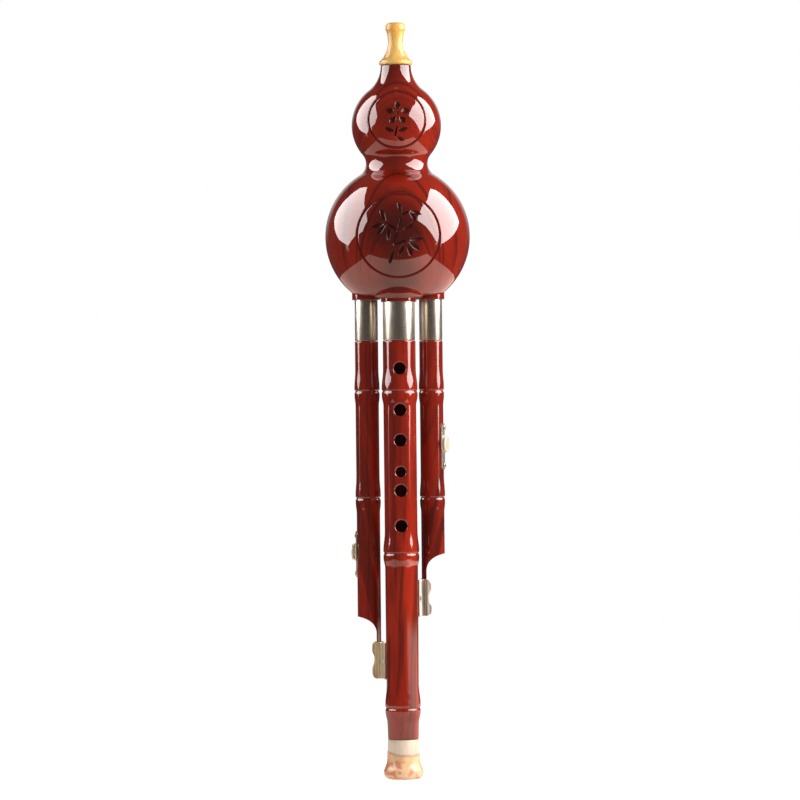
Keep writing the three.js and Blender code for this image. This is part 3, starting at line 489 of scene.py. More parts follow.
def amber_shader():
    """Honey-coloured plastic, a little clouded"""
    s = Shader("amber_plastic")
    cloud = s.noise((0.12, 0.12, 0.07))
    color = s.ramp(cloud, [(0.32, srgb(255, 185, 90)), (0.5, srgb(255, 193, 102)),
                           (0.68, srgb(255, 203, 118))])
    return s.finish(Base_Color=color, Roughness=0.4, IOR=1.45, Subsurface_Weight=0.5, Subsurface_Scale=0.01,
                    Subsurface_Radius=(1.0, 0.7, 0.4), Coat_Weight=0.5, Coat_Roughness=0.2)


def marble_shader():
    """The foot: a cream band over gold plastic with red patches, divided by a wavy line"""
    s = Shader("marbled_plastic")
    z = s.parts(s.place)[2]
    height = z / MM + (s.noise((0.1, 0.1, 0.02), 1.0, 0.4, (3, 0, 0)) - 0.5) * 6.0
    band = s.step(height, 14.0, 14.9)
    seam = s.step(height, 13.2, 14.2) * s.step(height, 15.6, 14.6)
    swirl = s.noise((0.09, 0.09, 0.08), 2.0, 0.5, (20, 5, 9), 0.5)
    vein = s.noise((0.17, 0.17, 0.17), 2.0, 0.45, (6, 30, 0), 0.6)
    gold = s.ramp(swirl, [(0.3, srgb(250, 182, 122)), (0.45, srgb(255, 202, 146)),
                          (0.56, srgb(250, 210, 168)), (0.66, srgb(242, 188, 134))])
    veined = s.mix(s.step(vein, 0.48, 0.62) * 0.75, gold, srgb(230, 122, 88))
    soft = s.noise((0.3, 0.3, 0.12), 3.0)
    cream = s.ramp(soft, [(0.3, srgb(232, 208, 184)), (0.7, srgb(244, 224, 204))])
    color = s.mix(seam * 0.5, s.mix(band, veined, cream), srgb(186, 124, 100))
    return s.finish(Base_Color=color, Roughness=0.35, IOR=1.45, Subsurface_Weight=0.15,
                    Subsurface_Scale=0.003, Subsurface_Radius=(1.0, 0.7, 0.4), Coat_Weight=0.8,
                    Coat_Roughness=0.05, Coat_IOR=1.5)


def cork_shader():
    s = Shader("waxed_cork")
    fleck = s.noise((1.1, 1.1, 1.1), 3.0, 0.6)
    pit = s.noise((2.6, 2.6, 2.6))
    color = s.ramp(fleck, [(0.34, srgb(138, 96, 58)), (0.5, srgb(190, 146, 98)), (0.66, srgb(210, 170, 122))])
    color = s.mix(s.step(pit, 0.6, 0.7) * 0.7, color, srgb(84, 52, 30))
    bump = s.out("Bump", Strength=0.4, Distance=0.0003, Height=pit)
    return s.finish(Base_Color=color, Roughness=0.75, Normal=bump)


# The gourd wood's last list darkens the front of the bulbs, waist and neck: painted shade.
gourd_wood = wood("gourd_wood", (0.8, 0), 9.0, arching=0.042, lines=0.42,
                  arches=[(405, 0.5), (400.2, 0.5), (391, 0.25), (350.2, 0.62), (339.6, 0.66), (329, 0.25),
                          (320.6, 0.5)],
                  painted_front_shades=[(0, 317, 27, 0.85), (0, 384, 17, 0.4), (0, 357, 15, 0.45), (0, 412, 15, 0.5),
                          (0, 291, 22, 0.7)])
main_wood = wood("main_pipe_wood", (6, 26), 3.4, 1.08, figure=0.5, lines=0.35, shift=(0, 0, 35),
                 streaks=0.58, lean=0.04)
left_wood = wood("left_drone_wood", (30, 34), 4.0, 0.97, figure=0.6, lines=0.5, shift=(0, 0, 110),
                 streaks=0.5, lean=-0.22)
right_wood = wood("right_drone_wood", (-34, 30), 4.2, 0.92, figure=0.6, lines=0.5, shift=(7, 0, 160),
                  streaks=0.68, lean=0.28)
ring_wood = wood("socket_ring_wood", (2, 40), 3.6, 0.9, figure=0.5, lines=0.4)
raw_bore = bore_shader()
# The grooves' darker colour is painted shade in the recess.
groove_shade_wood = flat_shader("ring_groove_shade", srgb(104, 27, 19), 0.15, (0.3, 0.3, 0.1), 0.7,
                          Specular_IOR_Level=0.1)
# The carved cuts' darker colour is painted shade inside the cuts.
carving_shade_wood = flat_shader("carving_shade_wood", srgb(62, 18, 13), 0.2, (0.3, 0.3, 0.3), 0.5, Specular_IOR_Level=0.0,
                          Coat_Weight=0.4, Coat_Roughness=0.16, Coat_IOR=1.6)
nickel = nickel_shader("satin_nickel", srgb(232, 222, 206), srgb(206, 194, 176), 1.0)
plate_nickel = nickel_shader("plate_nickel", srgb(240, 230, 212), srgb(196, 182, 160), 0.8)
pale_nickel = nickel_shader("switch_nickel", srgb(255, 250, 236), srgb(240, 228, 200), 0.35)
gold_clip = clip_shader("left_clip_metal", srgb(255, 246, 214), srgb(190, 164, 134), (0, 0, 0))
grey_clip = clip_shader("right_clip_metal", srgb(255, 246, 234), srgb(124, 112, 102), (9, 0, 0))
amber = amber_shader()
marble = marble_shader()
cork = cork_shader()
dark_plastic = flat_shader("dark_plastic", srgb(44, 38, 34), 0.25, (0.6, 0.6, 0.6), 0.45)
brass = flat_shader("rolled_brass", srgb(206, 166, 92), 0.12, (0.4, 0.4, 2.0), 0.3, Metallic=1.0)
rubber = flat_shader("pad_rubber", srgb(34, 31, 30), 0.2, (1.0, 1.0, 1.0), 0.75)

# The pipes, each with what carries it
SOCKETS = {
    "main": dict(place=(0, MAIN_Y), ferrule=9.25, ring=10.35, bottom=276.7, sides=128),
    "left": dict(place=(-DRONE_X, 0), ferrule=6.7, ring=8.15, bottom=278.3, sides=112),
    "right": dict(place=(DRONE_X, 0), ferrule=6.7, ring=8.15, bottom=278.3, sides=112),
}
DRONES = {
    "left": dict(x=-DRONE_X, inward=1, length=183.3, switch_share=0.6776, turn=168 * DEGREE, wood=left_wood,
                 clip_metal=gold_clip),
    "right": dict(x=DRONE_X, inward=-1, length=147.0, switch_share=0.4204, turn=-20 * DEGREE, wood=right_wood,
                  clip_metal=grey_clip),
}
for at in DRONES.values():
    at["tip"] = SHOULDER - at["length"]
    at["clip_top"] = at["tip"] + CLIP_OVER_TONGUE
    at["clip_bottom"] = at["clip_top"] - CLIP_HEIGHT
    at["clip_middle"] = (at["clip_bottom"] + at["clip_top"]) / 2
    at["clip_turn"] = math.atan2(-MAIN_Y, at["x"])
    at["plate"] = SHOULDER - at["length"] * at["switch_share"]
    at["cap"] = at["plate"] + CAP_ABOVE_PLATE


# Gourd

def surface_height(r):
    """Height of the gourd's underside at a distance from its axis, up to the widest place"""
    edge = BASE_FILLET
    edge_r = math.sqrt((LOWER_R - edge) ** 2 - (LOWER_Z - BASE - edge) ** 2)
    if r <= edge_r:
        return BASE
    turn = math.atan2(BASE + edge - LOWER_Z, edge_r)
    if r <= LOWER_R * math.cos(turn):
        return BASE + edge - math.sqrt(edge ** 2 - (r - edge_r) ** 2)
    return LOWER_Z - math.sqrt(LOWER_R ** 2 - r ** 2)


def gourd_outline(inset, step):
    """[radius, height] from the middle of the base up to the neck, this far inside the skin"""
    lower, upper, waist = LOWER_R - inset, UPPER_R - inset, WAIST_FILLET + inset
    fillet, neck, edge = NECK_FILLET + inset, NECK_R - inset, BASE_FILLET - inset
    bottom = BASE + inset
    edge_r = math.sqrt((lower - edge) ** 2 - (LOWER_Z - bottom - edge) ** 2)
    edge_turn = math.atan2(bottom + edge - LOWER_Z, edge_r)
    apart = UPPER_Z - LOWER_Z
    rise = ((lower + waist) ** 2 - (upper + waist) ** 2 + apart ** 2) / (2 * apart)
    waist_r = math.sqrt((lower + waist) ** 2 - rise ** 2)
    to_waist = math.atan2(rise, waist_r)
    from_waist = math.atan2(rise - apart, waist_r)
    to_neck = math.atan2(NECK_TOP - UPPER_Z, neck + fillet)
    flat = [(r, bottom) for r in np.arange(0, edge_r - step / 2, step)]
    return (flat
            + arc(edge_r, bottom + edge, edge, -QUARTER, edge_turn, step)[:-1]
            + arc(0, LOWER_Z, lower, edge_turn, to_waist, step)[:-1]
            + arc(waist_r, LOWER_Z + rise, waist, math.pi + to_waist, math.pi + from_waist, step * 0.7)[:-1]
            + arc(0, UPPER_Z, upper, from_waist, to_neck, step)[:-1]
            + arc(neck + fillet, NECK_TOP, fillet, math.pi + to_neck, math.pi, step))


def boss():
    """The round seat under the main pipe's socket: a rounded collar that runs up onto the gourd"""
    drop, lap, low_r, high_r, edge = 1.9, 1.2, 12.1, 15.5, 0.3
    bottom, hole = BASE - drop, SOCKETS["main"]["ring"] + GAP - lap
    low = bottom + edge
    shape = spline([(0, 0), (0.1, 0.26), (0.26, 0.47), (0.45, 0.6), (0.62, 0.65), (0.76, 0.68), (0.88, 0.76),
                    (1, 1)], 0.06)

    def column(angle):
        out = lambda r: (r * math.cos(angle), MAIN_Y + r * math.sin(angle))
        under = lambda r: surface_height(math.hypot(*out(r)))
        tall = under(high_r) - low
        points = [(hole, bottom), (low_r - edge, bottom), (low_r - 0.3 * edge, bottom + 0.3 * edge)]
        points += [(low_r + (high_r - low_r) * share, low + tall * rise) for rise, share in shape]
        points += [(high_r + 0.3, under(high_r + 0.3) + 0.5), (low_r, under(low_r) + lap)]
        points += [(low_r, SOCKET_TOP), (hole, SOCKET_TOP)]
        return [(*out(r), z) for r, z in points]

    return tube("boss", 160, column)


DISCS = {"lower": dict(centre=LOWER_Z, ball=LOWER_R, ring_z=314.2, ring=23.8, drop=0.34, groove=0.3),
         "upper": dict(centre=UPPER_Z, ball=UPPER_R, ring_z=382.6, ring=16.4, drop=0.3, groove=0.28)}
for disc in DISCS.values():
    disc["tilt"] = math.asin((disc["ring_z"] - disc["centre"]) / disc["ball"])


def ball_height(disc, r):
    return math.sqrt(disc["ball"] ** 2 - r ** 2)


def disc_height(disc, r):
    """From the bulb's centre to the disc's skin, which falls below the bulb's towards the ring"""
    return ball_height(disc, r) - disc["drop"] * (0.35 + 0.65 * (r / disc["ring"]) ** 4)


def onto_disc(disc):
    """Lays what is drawn about Z onto a disc"""
    return Matrix.Translation((0, 0, disc["centre"] * MM)) @ Matrix.Rotation(QUARTER - disc["tilt"], 4, "X")


def disc_cutter(disc):
    """Takes a skin with a rounded shoulder, and a groove round it, out of the front of a bulb"""
    ball, ring = disc["ball"], disc["ring"]
    inner, lip, steps = ring - 0.68, ring - 0.58, 60
    low = disc_height(disc, ring) - disc["groove"]
    groove = [(-0.5, 0.08), (-0.3, 0), (0.3, 0), (0.5, 0.08)]
    shoulder = [(0.6, -0.14), (0.76, -0.04), (0.95, 0.02), (2.2, 0.8)]
    profile = [(inner * k / steps, disc_height(disc, inner * k / steps)) for k in range(steps + 1)]
    profile += [(lip, disc_height(disc, lip) - 0.08)]
    profile += [(ring + off, low + rise) for off, rise in groove]
    profile += [(ring + off, ball_height(disc, ring + off) + rise) for off, rise in shoulder]
    profile += [(profile[-1][0], ball + 6), (0, ball + 6)]
    cutter = lathe("cutter", profile, 288)
    cutter.data.transform(onto_disc(disc))
    return cutter


def carving(disc, marks, depth):
    """Long pointed cuts on a disc. Each mark is its middle, length, width, angle and bluntness."""
    cuts = []
    for u, v, length, width, angle, blunt in marks:
        profile = [(width / 2 * (1 - abs(t) ** blunt), length / 2 * t) for t in np.linspace(-1, 1, 25)]
        cut = lathe("cut", profile, 20)
        squash = Matrix.Diagonal((1, 2 * depth / width, 1, 1))
        lay = Matrix.Rotation((angle - 90) * DEGREE, 4, "Z") @ Matrix.Rotation(-QUARTER, 4, "X")
        r = math.hypot(u, v)
        slope = math.atan2(disc_height(disc, r - 0.05) - disc_height(disc, r + 0.05), 0.1)
        lean = Matrix.Rotation(slope, 4, Vector((-v, u, 0)).normalized())
        place = Matrix.Translation(Vector((u, v, disc_height(disc, r) + depth * 0.12)) * MM)
        cut.data.transform(onto_disc(disc) @ place @ lean @ lay @ squash)
        cuts.append(cut)
    return combine(cuts[0], cuts[1:], "UNION")


def leaf(base, length, width, angle):
    """A carved leaf that starts at a point"""
    a = angle * DEGREE
    return (base[0] + length / 2 * math.cos(a), base[1] + length / 2 * math.sin(a), length, width, angle, 1.8)


def stem(a, b, width):
    return ((a[0] + b[0]) / 2, (a[1] + b[1]) / 2, math.dist(a, b), width,
            math.atan2(b[1] - a[1], b[0] - a[0]) / DEGREE, 6)


sprig = [stem((-5.6, -17.0), (-3.4, -7.6), 2.2), stem((-3.0, -6.4), (-0.8, 2.8), 1.9),
         stem((-0.4, 4.0), (1.9, 12.0), 1.6), stem((-2.8, -5.6), (4.6, -2.6), 1.1),
         stem((-1.0, 3.0), (-7.0, 7.0), 1.1), stem((1.6, 11.4), (6.0, 14.0), 1.0)]
sprig += [leaf((4.6, -2.6), 11.5, 3.3, a) for a in (-74, -38, 6)] + [leaf((2.6, -4.0), 9.5, 2.9, -106)]
sprig += [leaf((-7.0, 7.0), 10.4, 3.2, a) for a in (112, 192, 230)] + [leaf((-5.2, 5.4), 9.4, 2.8, 264)]
sprig += [leaf((6.0, 14.0), 8.2, 2.7, a) for a in (-56, -14)]
sprig += [leaf((1.9, 12.4), 7.6, 2.7, 108), leaf((1.4, 2.2), 10.4, 2.9, 34)]
flower = (0.4, 3.0)
blossom = [leaf(petal, 6.2, 3.6, 18 + 72 * i)
           for i, petal in enumerate(swing(flower, 1.7, 18 * DEGREE, (18 + 360) * DEGREE, 5)[:-1])]
blossom += [(*flower, 1.9, 1.9, 0, 2.4), stem((-1.4, -11.6), (0.2, -3.4), 1.1)]
blossom += [leaf((-0.6, -7.8), 8.4, 2.9, a) for a in (20, 160)] + [leaf((-1.2, -10.4), 6.4, 2.4, -24)]


def gourd():
    outline = gourd_outline(0, 0.85)
    inside = gourd_outline(GOURD_WALL, 2.4)
    corners = [outline[-2], (NECK_R, NECK_TOP), (NECK_R - GOURD_WALL, NECK_TOP), inside[-2]]
    lip = rounded(corners, 0.5, 4, closed=False)
    body = lathe("gourd_shell", outline[:-2] + lip[1:-1] + inside[::-1][1:], 288)
    body = combine(body, [boss()], "UNION")
    below, above = 270, 292
    cuts = [rod(at["ring"] + GAP, (*at["place"], below), (*at["place"], above), at["sides"])
            for at in SOCKETS.values()]
    lower, upper = DISCS["lower"], DISCS["upper"]
    cuts += [disc_cutter(lower), disc_cutter(upper)]
    marks = [carving(lower, sprig, depth=0.8), carving(upper, blossom, depth=0.6)]
    return smooth(combine(combine(body, cuts), marks), 28)


def in_gourd(p):
    """1 on the gourd's inner skin, 2 in the grooves round the discs, 3 in the carving and otherwise 0"""
    deepest_cut, groove_half, least = 1.7, 0.61, 0.1
    for disc in DISCS.values():
        ball, ring, tilt = disc["ball"], disc["ring"], disc["tilt"]
        spot = Vector(p) - Vector((0, 0, disc["centre"]))
        along = spot.dot(Vector((0, -math.cos(tilt), math.sin(tilt))))
        off = math.sqrt(max(0, spot.length_squared - along ** 2))
        if along < 0 or spot.length < ball - deepest_cut:
            continue
        if abs(off - ring) < groove_half and spot.length < ball - least:
            return 2
        if off < ring - 1 and disc_height(disc, off) - along > least:
            return 3
    lower_wall = math.dist(p, (0, 0, LOWER_Z)) - (LOWER_R - GOURD_WALL)
    upper_wall = math.dist(p, (0, 0, UPPER_Z)) - (UPPER_R - GOURD_WALL)
    waist_z, waist_reach, waist_r, neck_r, slack = 358, 9, 16.6, 8, 0.35
    r = math.hypot(p[0], p[1])
    in_waist = abs(p[2] - waist_z) < waist_reach and r < waist_r
    in_neck = p[2] > UPPER_Z and r < neck_r
    return min(lower_wall, upper_wall) < slack or in_waist or in_neck


dress(gourd(), ["gourd_body"], "gourd", "lacquered_wood", gourd_wood, raw_bore, groove_shade_wood, carving_shade_wood,
      inside=in_gourd)


# Socket rings and ferrules

def collar(name, inner, outer, bottom, top, place, radius):
    corners = [(inner, bottom), (outer, bottom), (outer, top), (inner, top)]
    return smooth(lathe(name, rounded(corners, radius, 5), 144, place))


for side, at in SOCKETS.items():
    outer = at["ferrule"]
    ring = collar(f"{side}_collar", outer + GAP, at["ring"], at["bottom"], SOCKET_TOP, at["place"], 0.3)
    dress(ring, [f"{side}_socket_ring"], "gourd", "lacquered_wood", ring_wood)
    sleeve = collar(f"{side}_sleeve", outer - FERRULE_WALL, outer, FERRULE_BOTTOM, FERRULE_TOP,
                    at["place"], 0.25)
    dress(sleeve, [f"{side}_ferrule"], "gourd", "nickel", nickel)


# Mouthpiece

MOUTHPIECE_BOTTOM = NECK_TOP + GAP


def mouthpiece():
    bore, spigot_r, cork_bed_r, land, spigot, tall = 2.0, 5.8, 4.7, 1.8, 15.0, 24.7
    outer = spline([(0, 9.05), (0.4, 9.6), (1.1, 9.75), (2.0, 9.5), (4.2, 7.6), (6.7, 6.1), (8.9, 5.1),
                    (11.5, 4.5), (13.8, 4.35), (17.3, 4.7), (19.4, 5.15), (21.0, 5.75), (22.4, 5.8),
                    (23.3, 5.6), (24.2, 4.9), (tall, 3.6)], 0.35)
    points = [(bore, -spigot), (spigot_r, -spigot), (spigot_r, land - spigot), (cork_bed_r, land - spigot),
              (cork_bed_r, -land), (spigot_r, -land), (spigot_r, 0)]
    points += [(r, rise) for rise, r in outer] + [(bore + 0.6, tall), (bore, tall - 0.6)]
    points = [(r, MOUTHPIECE_BOTTOM + rise) for r, rise in points]
    return smooth(lathe("mouthpiece_turned", points, 128))


dress(mouthpiece(), ["mouthpiece"], "mouthpiece", "amber_plastic", amber)
cork_ring = collar("mouthpiece_cork_sheet", 5.0, 5.8, MOUTHPIECE_BOTTOM - 12.9, MOUTHPIECE_BOTTOM - 2.1,
                   (0, 0), 0.25)
dress(cork_ring, ["mouthpiece_cork"], "mouthpiece", "cork", cork)


# Pipes

def node_swell(size):
    """How far a bamboo node stands out, by height above its groove"""
    shape = [(-8.7, 0), (-7.4, 0.12), (-5.8, 0.5), (-4.2, 0.84), (-2.9, 0.985), (-2.1, 1.0), (-1.5, 0.985)]
    groove = [(-1.15, size - 0.05), (-0.75, size - 0.3), (-0.25, size - 0.5), (0.1, size - 0.5),
              (0.4, size - 0.3), (0.75, size - 0.03)]
    upper = [(1.1, 0.99), (1.7, 1.0), (2.5, 0.985), (4.2, 0.86), (6.6, 0.54), (9.2, 0.2), (11.2, 0.05),
             (13.0, 0)]
    points = [(z, size * s) for z, s in shape] + groove + [(z, size * s) for z, s in upper]
    return spline(points, 0.25)


def pipe_outline(radius_at, nodes, size, low, high):
    """[radius, height] up a pipe's outside"""
    points = []
    at = low
    swell = node_swell(size)
    for node in sorted(nodes):
        points += [(radius_at(z), z) for z in np.arange(at + 0.6, node + swell[0][0] - 0.8, 1.6)]
        points += [(radius_at(node + z) + s, node + z) for z, s in swell]
        at = node + swell[-1][0]
    return points + [(radius_at(z), z) for z in np.arange(at + 0.8, high - 0.8, 1.6)]


def tenon(outer, top):
    inner, land = outer - CORK - GAP, 2.4
    return [(outer, SHOULDER), (outer, SHOULDER + land), (inner, SHOULDER + land), (inner, top - land),
            (outer, top - land), (outer, top)]


def down_main(share):
    """A height that is a share of the main pipe's length below its shoulder"""
    return SHOULDER - MAIN_LENGTH * share


main_nodes = [down_main(share) for share in (0.1256, 0.5331, 0.9216)]
drone_nodes = [down_main(share) for share in (0.1256, 0.3958)]
FINGER_HOLE_SHARES = (0.0697, 0.1741, 0.2503, 0.3296, 0.3768, 0.4651)
SMALL_HOLE = 3
finger_holes = [(down_main(share), 3.0 if i == SMALL_HOLE else 3.5)
                for i, share in enumerate(FINGER_HOLE_SHARES)]
back_holes = [(down_main(share), r) for share, r in ((0.0359, 3.2), (0.7276, 2.5), (0.966, 1.6))]
MAIN_END = FOOT_HEIGHT + GAP


def main_radius(z):
    taper = min(1, max(0, (main_nodes[2] - z) / (main_nodes[2] - MAIN_END)))
    return MAIN_R - (MAIN_R - MAIN_END_R) * taper


def countersink(radius, z, side, skin):
    """A hole's cutter with a flare that follows the pipe's round skin"""
    flare = [(radius, -0.6), (radius + 0.06, -0.5), (radius + 0.32, -0.26), (radius + 0.58, -0.07),
             (radius + 0.8, 0.02), (radius + 1.2, 0.5), (radius + 1.2, 3.0), (0.5 * radius, 3.0),
             (0.5 * radius, -skin + 1), (radius, -skin + 1)]

    def column(angle):
        points = []
        for r, rise in flare:
            x = r * math.cos(angle)
            level = rise if rise < -5 or rise > 2 else math.sqrt(skin ** 2 - x ** 2) - skin + rise
            points.append((x, MAIN_Y + side * (skin + level), z + r * math.sin(angle)))
        return points

    core = rod(0.75 * radius, (0, MAIN_Y, z), (0, MAIN_Y + side * (skin + 2), z), 48)
    return combine(tube("cutter", 72, column), [core], "UNION")


def rivet_holes(at, start, end):
    """Cutters for a clip's two rivets, between two distances from the main pipe's axis"""
    holes = []
    for turn in (-RIVET_TURN, RIVET_TURN):
        c, s = math.cos(at["clip_turn"] + turn), math.sin(at["clip_turn"] + turn)
        spots = [(r * c, MAIN_Y + r * s, at["clip_middle"]) for r in (start, end)]
        holes.append(rod(RIVET_HOLE_R, *spots, 24))
    return holes


def main_pipe():
    foot_tenon_r, clip_seat_r, beyond = 7.4, 9.65, 12.9
    low = MAIN_END - FOOT_TENON
    points = [(MAIN_BORE, low), (foot_tenon_r, low), (foot_tenon_r, MAIN_END), (MAIN_END_R - 0.25, MAIN_END),
              (MAIN_END_R - 0.07, MAIN_END + 0.08), (MAIN_END_R, MAIN_END + 0.25)]
    points += pipe_outline(main_radius, main_nodes, 0.9, MAIN_END, SHOULDER)
    points += [(MAIN_R, SHOULDER - 0.25), (MAIN_R - 0.07, SHOULDER - 0.07), (MAIN_R - 0.25, SHOULDER)]
    points += tenon(MAIN_TENON_R, SHOULDER + MAIN_TENON) + [(MAIN_BORE, SHOULDER + MAIN_TENON)]
    pipe = lathe("main_pipe_turned", points, 168, (0, MAIN_Y))
    cuts = [countersink(r, z, -1, main_radius(z)) for z, r in finger_holes]
    cuts += [countersink(r, z, 1, main_radius(z)) for z, r in back_holes]
    for at in DRONES.values():
        low, high = at["clip_bottom"] - GAP, at["clip_top"] + GAP
        cuts.append(sector(clip_seat_r, beyond, at["clip_turn"], 40 * DEGREE, low, high, (0, MAIN_Y), 24))
        cuts += rivet_holes(at, 7.2, 12)
    return smooth(combine(pipe, cuts), 30)


def in_main_pipe(p):
    """1 in the main pipe's bore and deep in its holes, and otherwise 0"""
    inner_r = 8.45
    return math.hypot(p[0], p[1] - MAIN_Y) < inner_r and MAIN_END + 0.2 < p[2] < SHOULDER - 0.5


dress(main_pipe(), ["main_pipe"], "main_pipe", "lacquered_wood", main_wood, raw_bore, inside=in_main_pipe)


def oval(width, length, centre, out):
    """A rod of stadium section along +X, with its long side upright"""
    radius, reach = width / 2, length / 2 - width / 2
    flat = swing((0, centre + reach), radius, 0, math.pi, 18)
    flat += swing((0, centre - reach), radius, math.pi, 2 * math.pi, 18)
    return stack("oval", [[(x, y, z) for y, z in flat] for x in (0, out)])


def patch(inner, outer, width, length, centre):
    """A piece of a tube about Z with rounded ends, facing +X"""
    sheet = sector(inner, outer, 0, 1.25, centre - length / 2 - 2, centre + length / 2 + 2, (0, 0), 60)
    return combine(sheet, [oval(width, length, centre, outer + 3)], "INTERSECT")


def beside(at, obj):
    """Turns a piece laid out along +X to its side of the drone"""
    obj.data.transform(Matrix.Translation((at["x"] * MM, 0, 0)) @ Matrix.Rotation(at["turn"], 4, "Z"))
    return obj


def scoop(at):
    """Takes the drone's lower end away, apart from a tongue on the side of the main pipe"""
    tongue, tongue_length, depth, bend_share, reach = 2.7, 12.4, 10.4, 0.82, 9.0
    root, low = at["tip"] + tongue_length, at["tip"] - 2
    face = at["inward"] * (DRONE_R - tongue)
    outer, clear = -at["inward"] * DRONE_R, -at["inward"] * (DRONE_R + 2)
    start, bend, end = (outer, root + depth), (face, root + depth * bend_share), (face, root)
    curve = [tuple((1 - t) ** 2 * a + 2 * t * (1 - t) * b + t * t * c for a, b, c in zip(start, bend, end))
             for t in np.linspace(0, 1, 33)]
    flat = [(clear, low), (clear, start[1])] + curve + [(face, low)]
    return stack("scoop", [[(x + at["x"], y, z) for x, z in flat] for y in (-reach, reach)])


def drone_pipe(side):
    at = DRONES[side]
    x, tip = at["x"], at["tip"]
    points = [(DRONE_BORE, tip), (DRONE_R - 0.15, tip), (DRONE_R, tip + 0.15)]
    points += pipe_outline(lambda z: DRONE_R, drone_nodes, 0.55, tip, SHOULDER)
    points += [(DRONE_R, SHOULDER - 0.2), (DRONE_R - 0.06, SHOULDER - 0.06), (DRONE_R - 0.2, SHOULDER)]
    points += tenon(DRONE_TENON_R, SHOULDER + DRONE_TENON) + [(DRONE_BORE, SHOULDER + DRONE_TENON)]
    pipe = lathe(f"{side}_drone_turned", points, 128, (x, 0))
    c, s = math.cos(at["turn"]), math.sin(at["turn"])
    along = lambda r, z: (x + r * c, r * s, z)
    tone_hole, screw_end, beyond = at["cap"] - TONE_HOLE_BELOW_CAP, 4.7, 9
    plate_seat = patch(inner=6.9, outer=9.5, width=6.2, length=27.6, centre=at["plate"])
    cuts = [scoop(at), beside(at, plate_seat),
            rod(TONE_HOLE_R, along(0, tone_hole), along(beyond, tone_hole), 40)]
    for z in (at["plate"] - SCREW_RISE, at["plate"] + SCREW_RISE):
        cuts.append(rod(SCREW_HOLE_R, along(screw_end, z), along(beyond, z), 20))
    return smooth(combine(pipe, cuts), 30)


for side, at in DRONES.items():
    dress(drone_pipe(side), [f"{side}_drone_pipe"], f"{side}_drone", "lacquered_wood", at["wood"], raw_bore,
          inside=lambda p: math.hypot(p[0] - at["x"], p[1]) < DRONE_BORE + 0.2)


# Tenon corks

def tenon_cork(side, radius, tenon_length, place, body):
    margin = 2.7
    sheet = collar(f"{side}_tenon_cork_sheet", radius - CORK, radius, SHOULDER + margin,
                   SHOULDER + tenon_length - margin, place, 0.2)
    dress(sheet, [f"{side}_tenon_cork"], body, "cork", cork)


tenon_cork("main", MAIN_TENON_R, MAIN_TENON, (0, MAIN_Y), "main_pipe")
for side, at in DRONES.items():
    tenon_cork(side, DRONE_TENON_R, DRONE_TENON, (at["x"], 0), f"{side}_drone")


# Foot

def foot():
    outer = spline([(0, 9.2), (0.25, 9.75), (0.8, 10.5), (1.7, 11.2), (3.0, 11.55), (4.4, 11.58), (5.6, 11.3),
                    (7.2, 10.6), (9.0, 10.0), (11.0, 9.7), (13.5, 9.55), (18, 9.3), (22.45, 9.12),
                    (22.75, 9.04), (FOOT_HEIGHT, 8.85)], 0.4)
    socket_r, floor_z = 7.7, FOOT_HEIGHT - FOOT_TENON
    points = [(r, z) for z, r in outer] + [(socket_r, FOOT_HEIGHT), (socket_r, floor_z), (MAIN_BORE, floor_z)]
    points += [(MAIN_BORE, 4.7), (6.2, 3.0), (7.1, 0.9), (7.6, 0.15), (8.0, 0)]
    return smooth(lathe("foot_turned", points, 144, (0, MAIN_Y)))


dress(foot(), ["foot_ring"], "main_pipe", "marbled_plastic", marble)


# Clips

def clip_outline(at, trim, ahead):
    """A clip's section: a saddle on the main pipe, a web, and a cradle round the drone whose arms end
    this far ahead of the drone's axis. Trim takes the sheet's faces in, for its rounded edges."""
    saddle, cradle, sheet, web, slack = 9.8, 7.3, 0.8, 1.7, 0.03
    main, drone = (0, 0), (at["x"], -MAIN_Y)
    towards = at["clip_turn"]
    facing = 0 if at["inward"] > 0 else math.pi
    arm = math.acos(min(1, ahead / (cradle + sheet)))
    back = (towards - facing) % (2 * math.pi) - math.pi
    saddle_half = 38 * DEGREE - trim / saddle
    inner, outer = trim, sheet - trim
    at_saddle = math.asin((web / 2 - trim) / (saddle + outer)) + slack
    at_cradle = math.asin((web / 2 - trim) / (cradle + outer)) + slack

    def rounded_end(centre, radius, angle, start):
        middle = (centre[0] + radius * math.cos(angle), centre[1] + radius * math.sin(angle))
        return swing(middle, sheet / 2 - trim, start, start + math.pi, 6)[1:-1]

    points = swing(main, saddle + outer, towards - saddle_half, towards - at_saddle, 12)
    points += swing(drone, cradle + outer, facing + back + at_cradle, facing + arm, 20)
    points += rounded_end(drone, cradle + sheet / 2, facing + arm, facing + arm)
    points += swing(drone, cradle + inner, facing + arm, facing - arm, 44)
    points += rounded_end(drone, cradle + sheet / 2, facing - arm, facing - arm + math.pi)
    points += swing(drone, cradle + outer, facing - arm, facing + back - at_cradle, 20)
    points += swing(main, saddle + outer, towards + at_saddle, towards + saddle_half, 12)
    points += rounded_end(main, saddle + sheet / 2, towards + saddle_half, towards + saddle_half)
    points += swing(main, saddle + inner, towards + saddle_half, towards - saddle_half, 26)
    points += rounded_end(main, saddle + sheet / 2, towards - saddle_half, towards - saddle_half + math.pi)
    return points


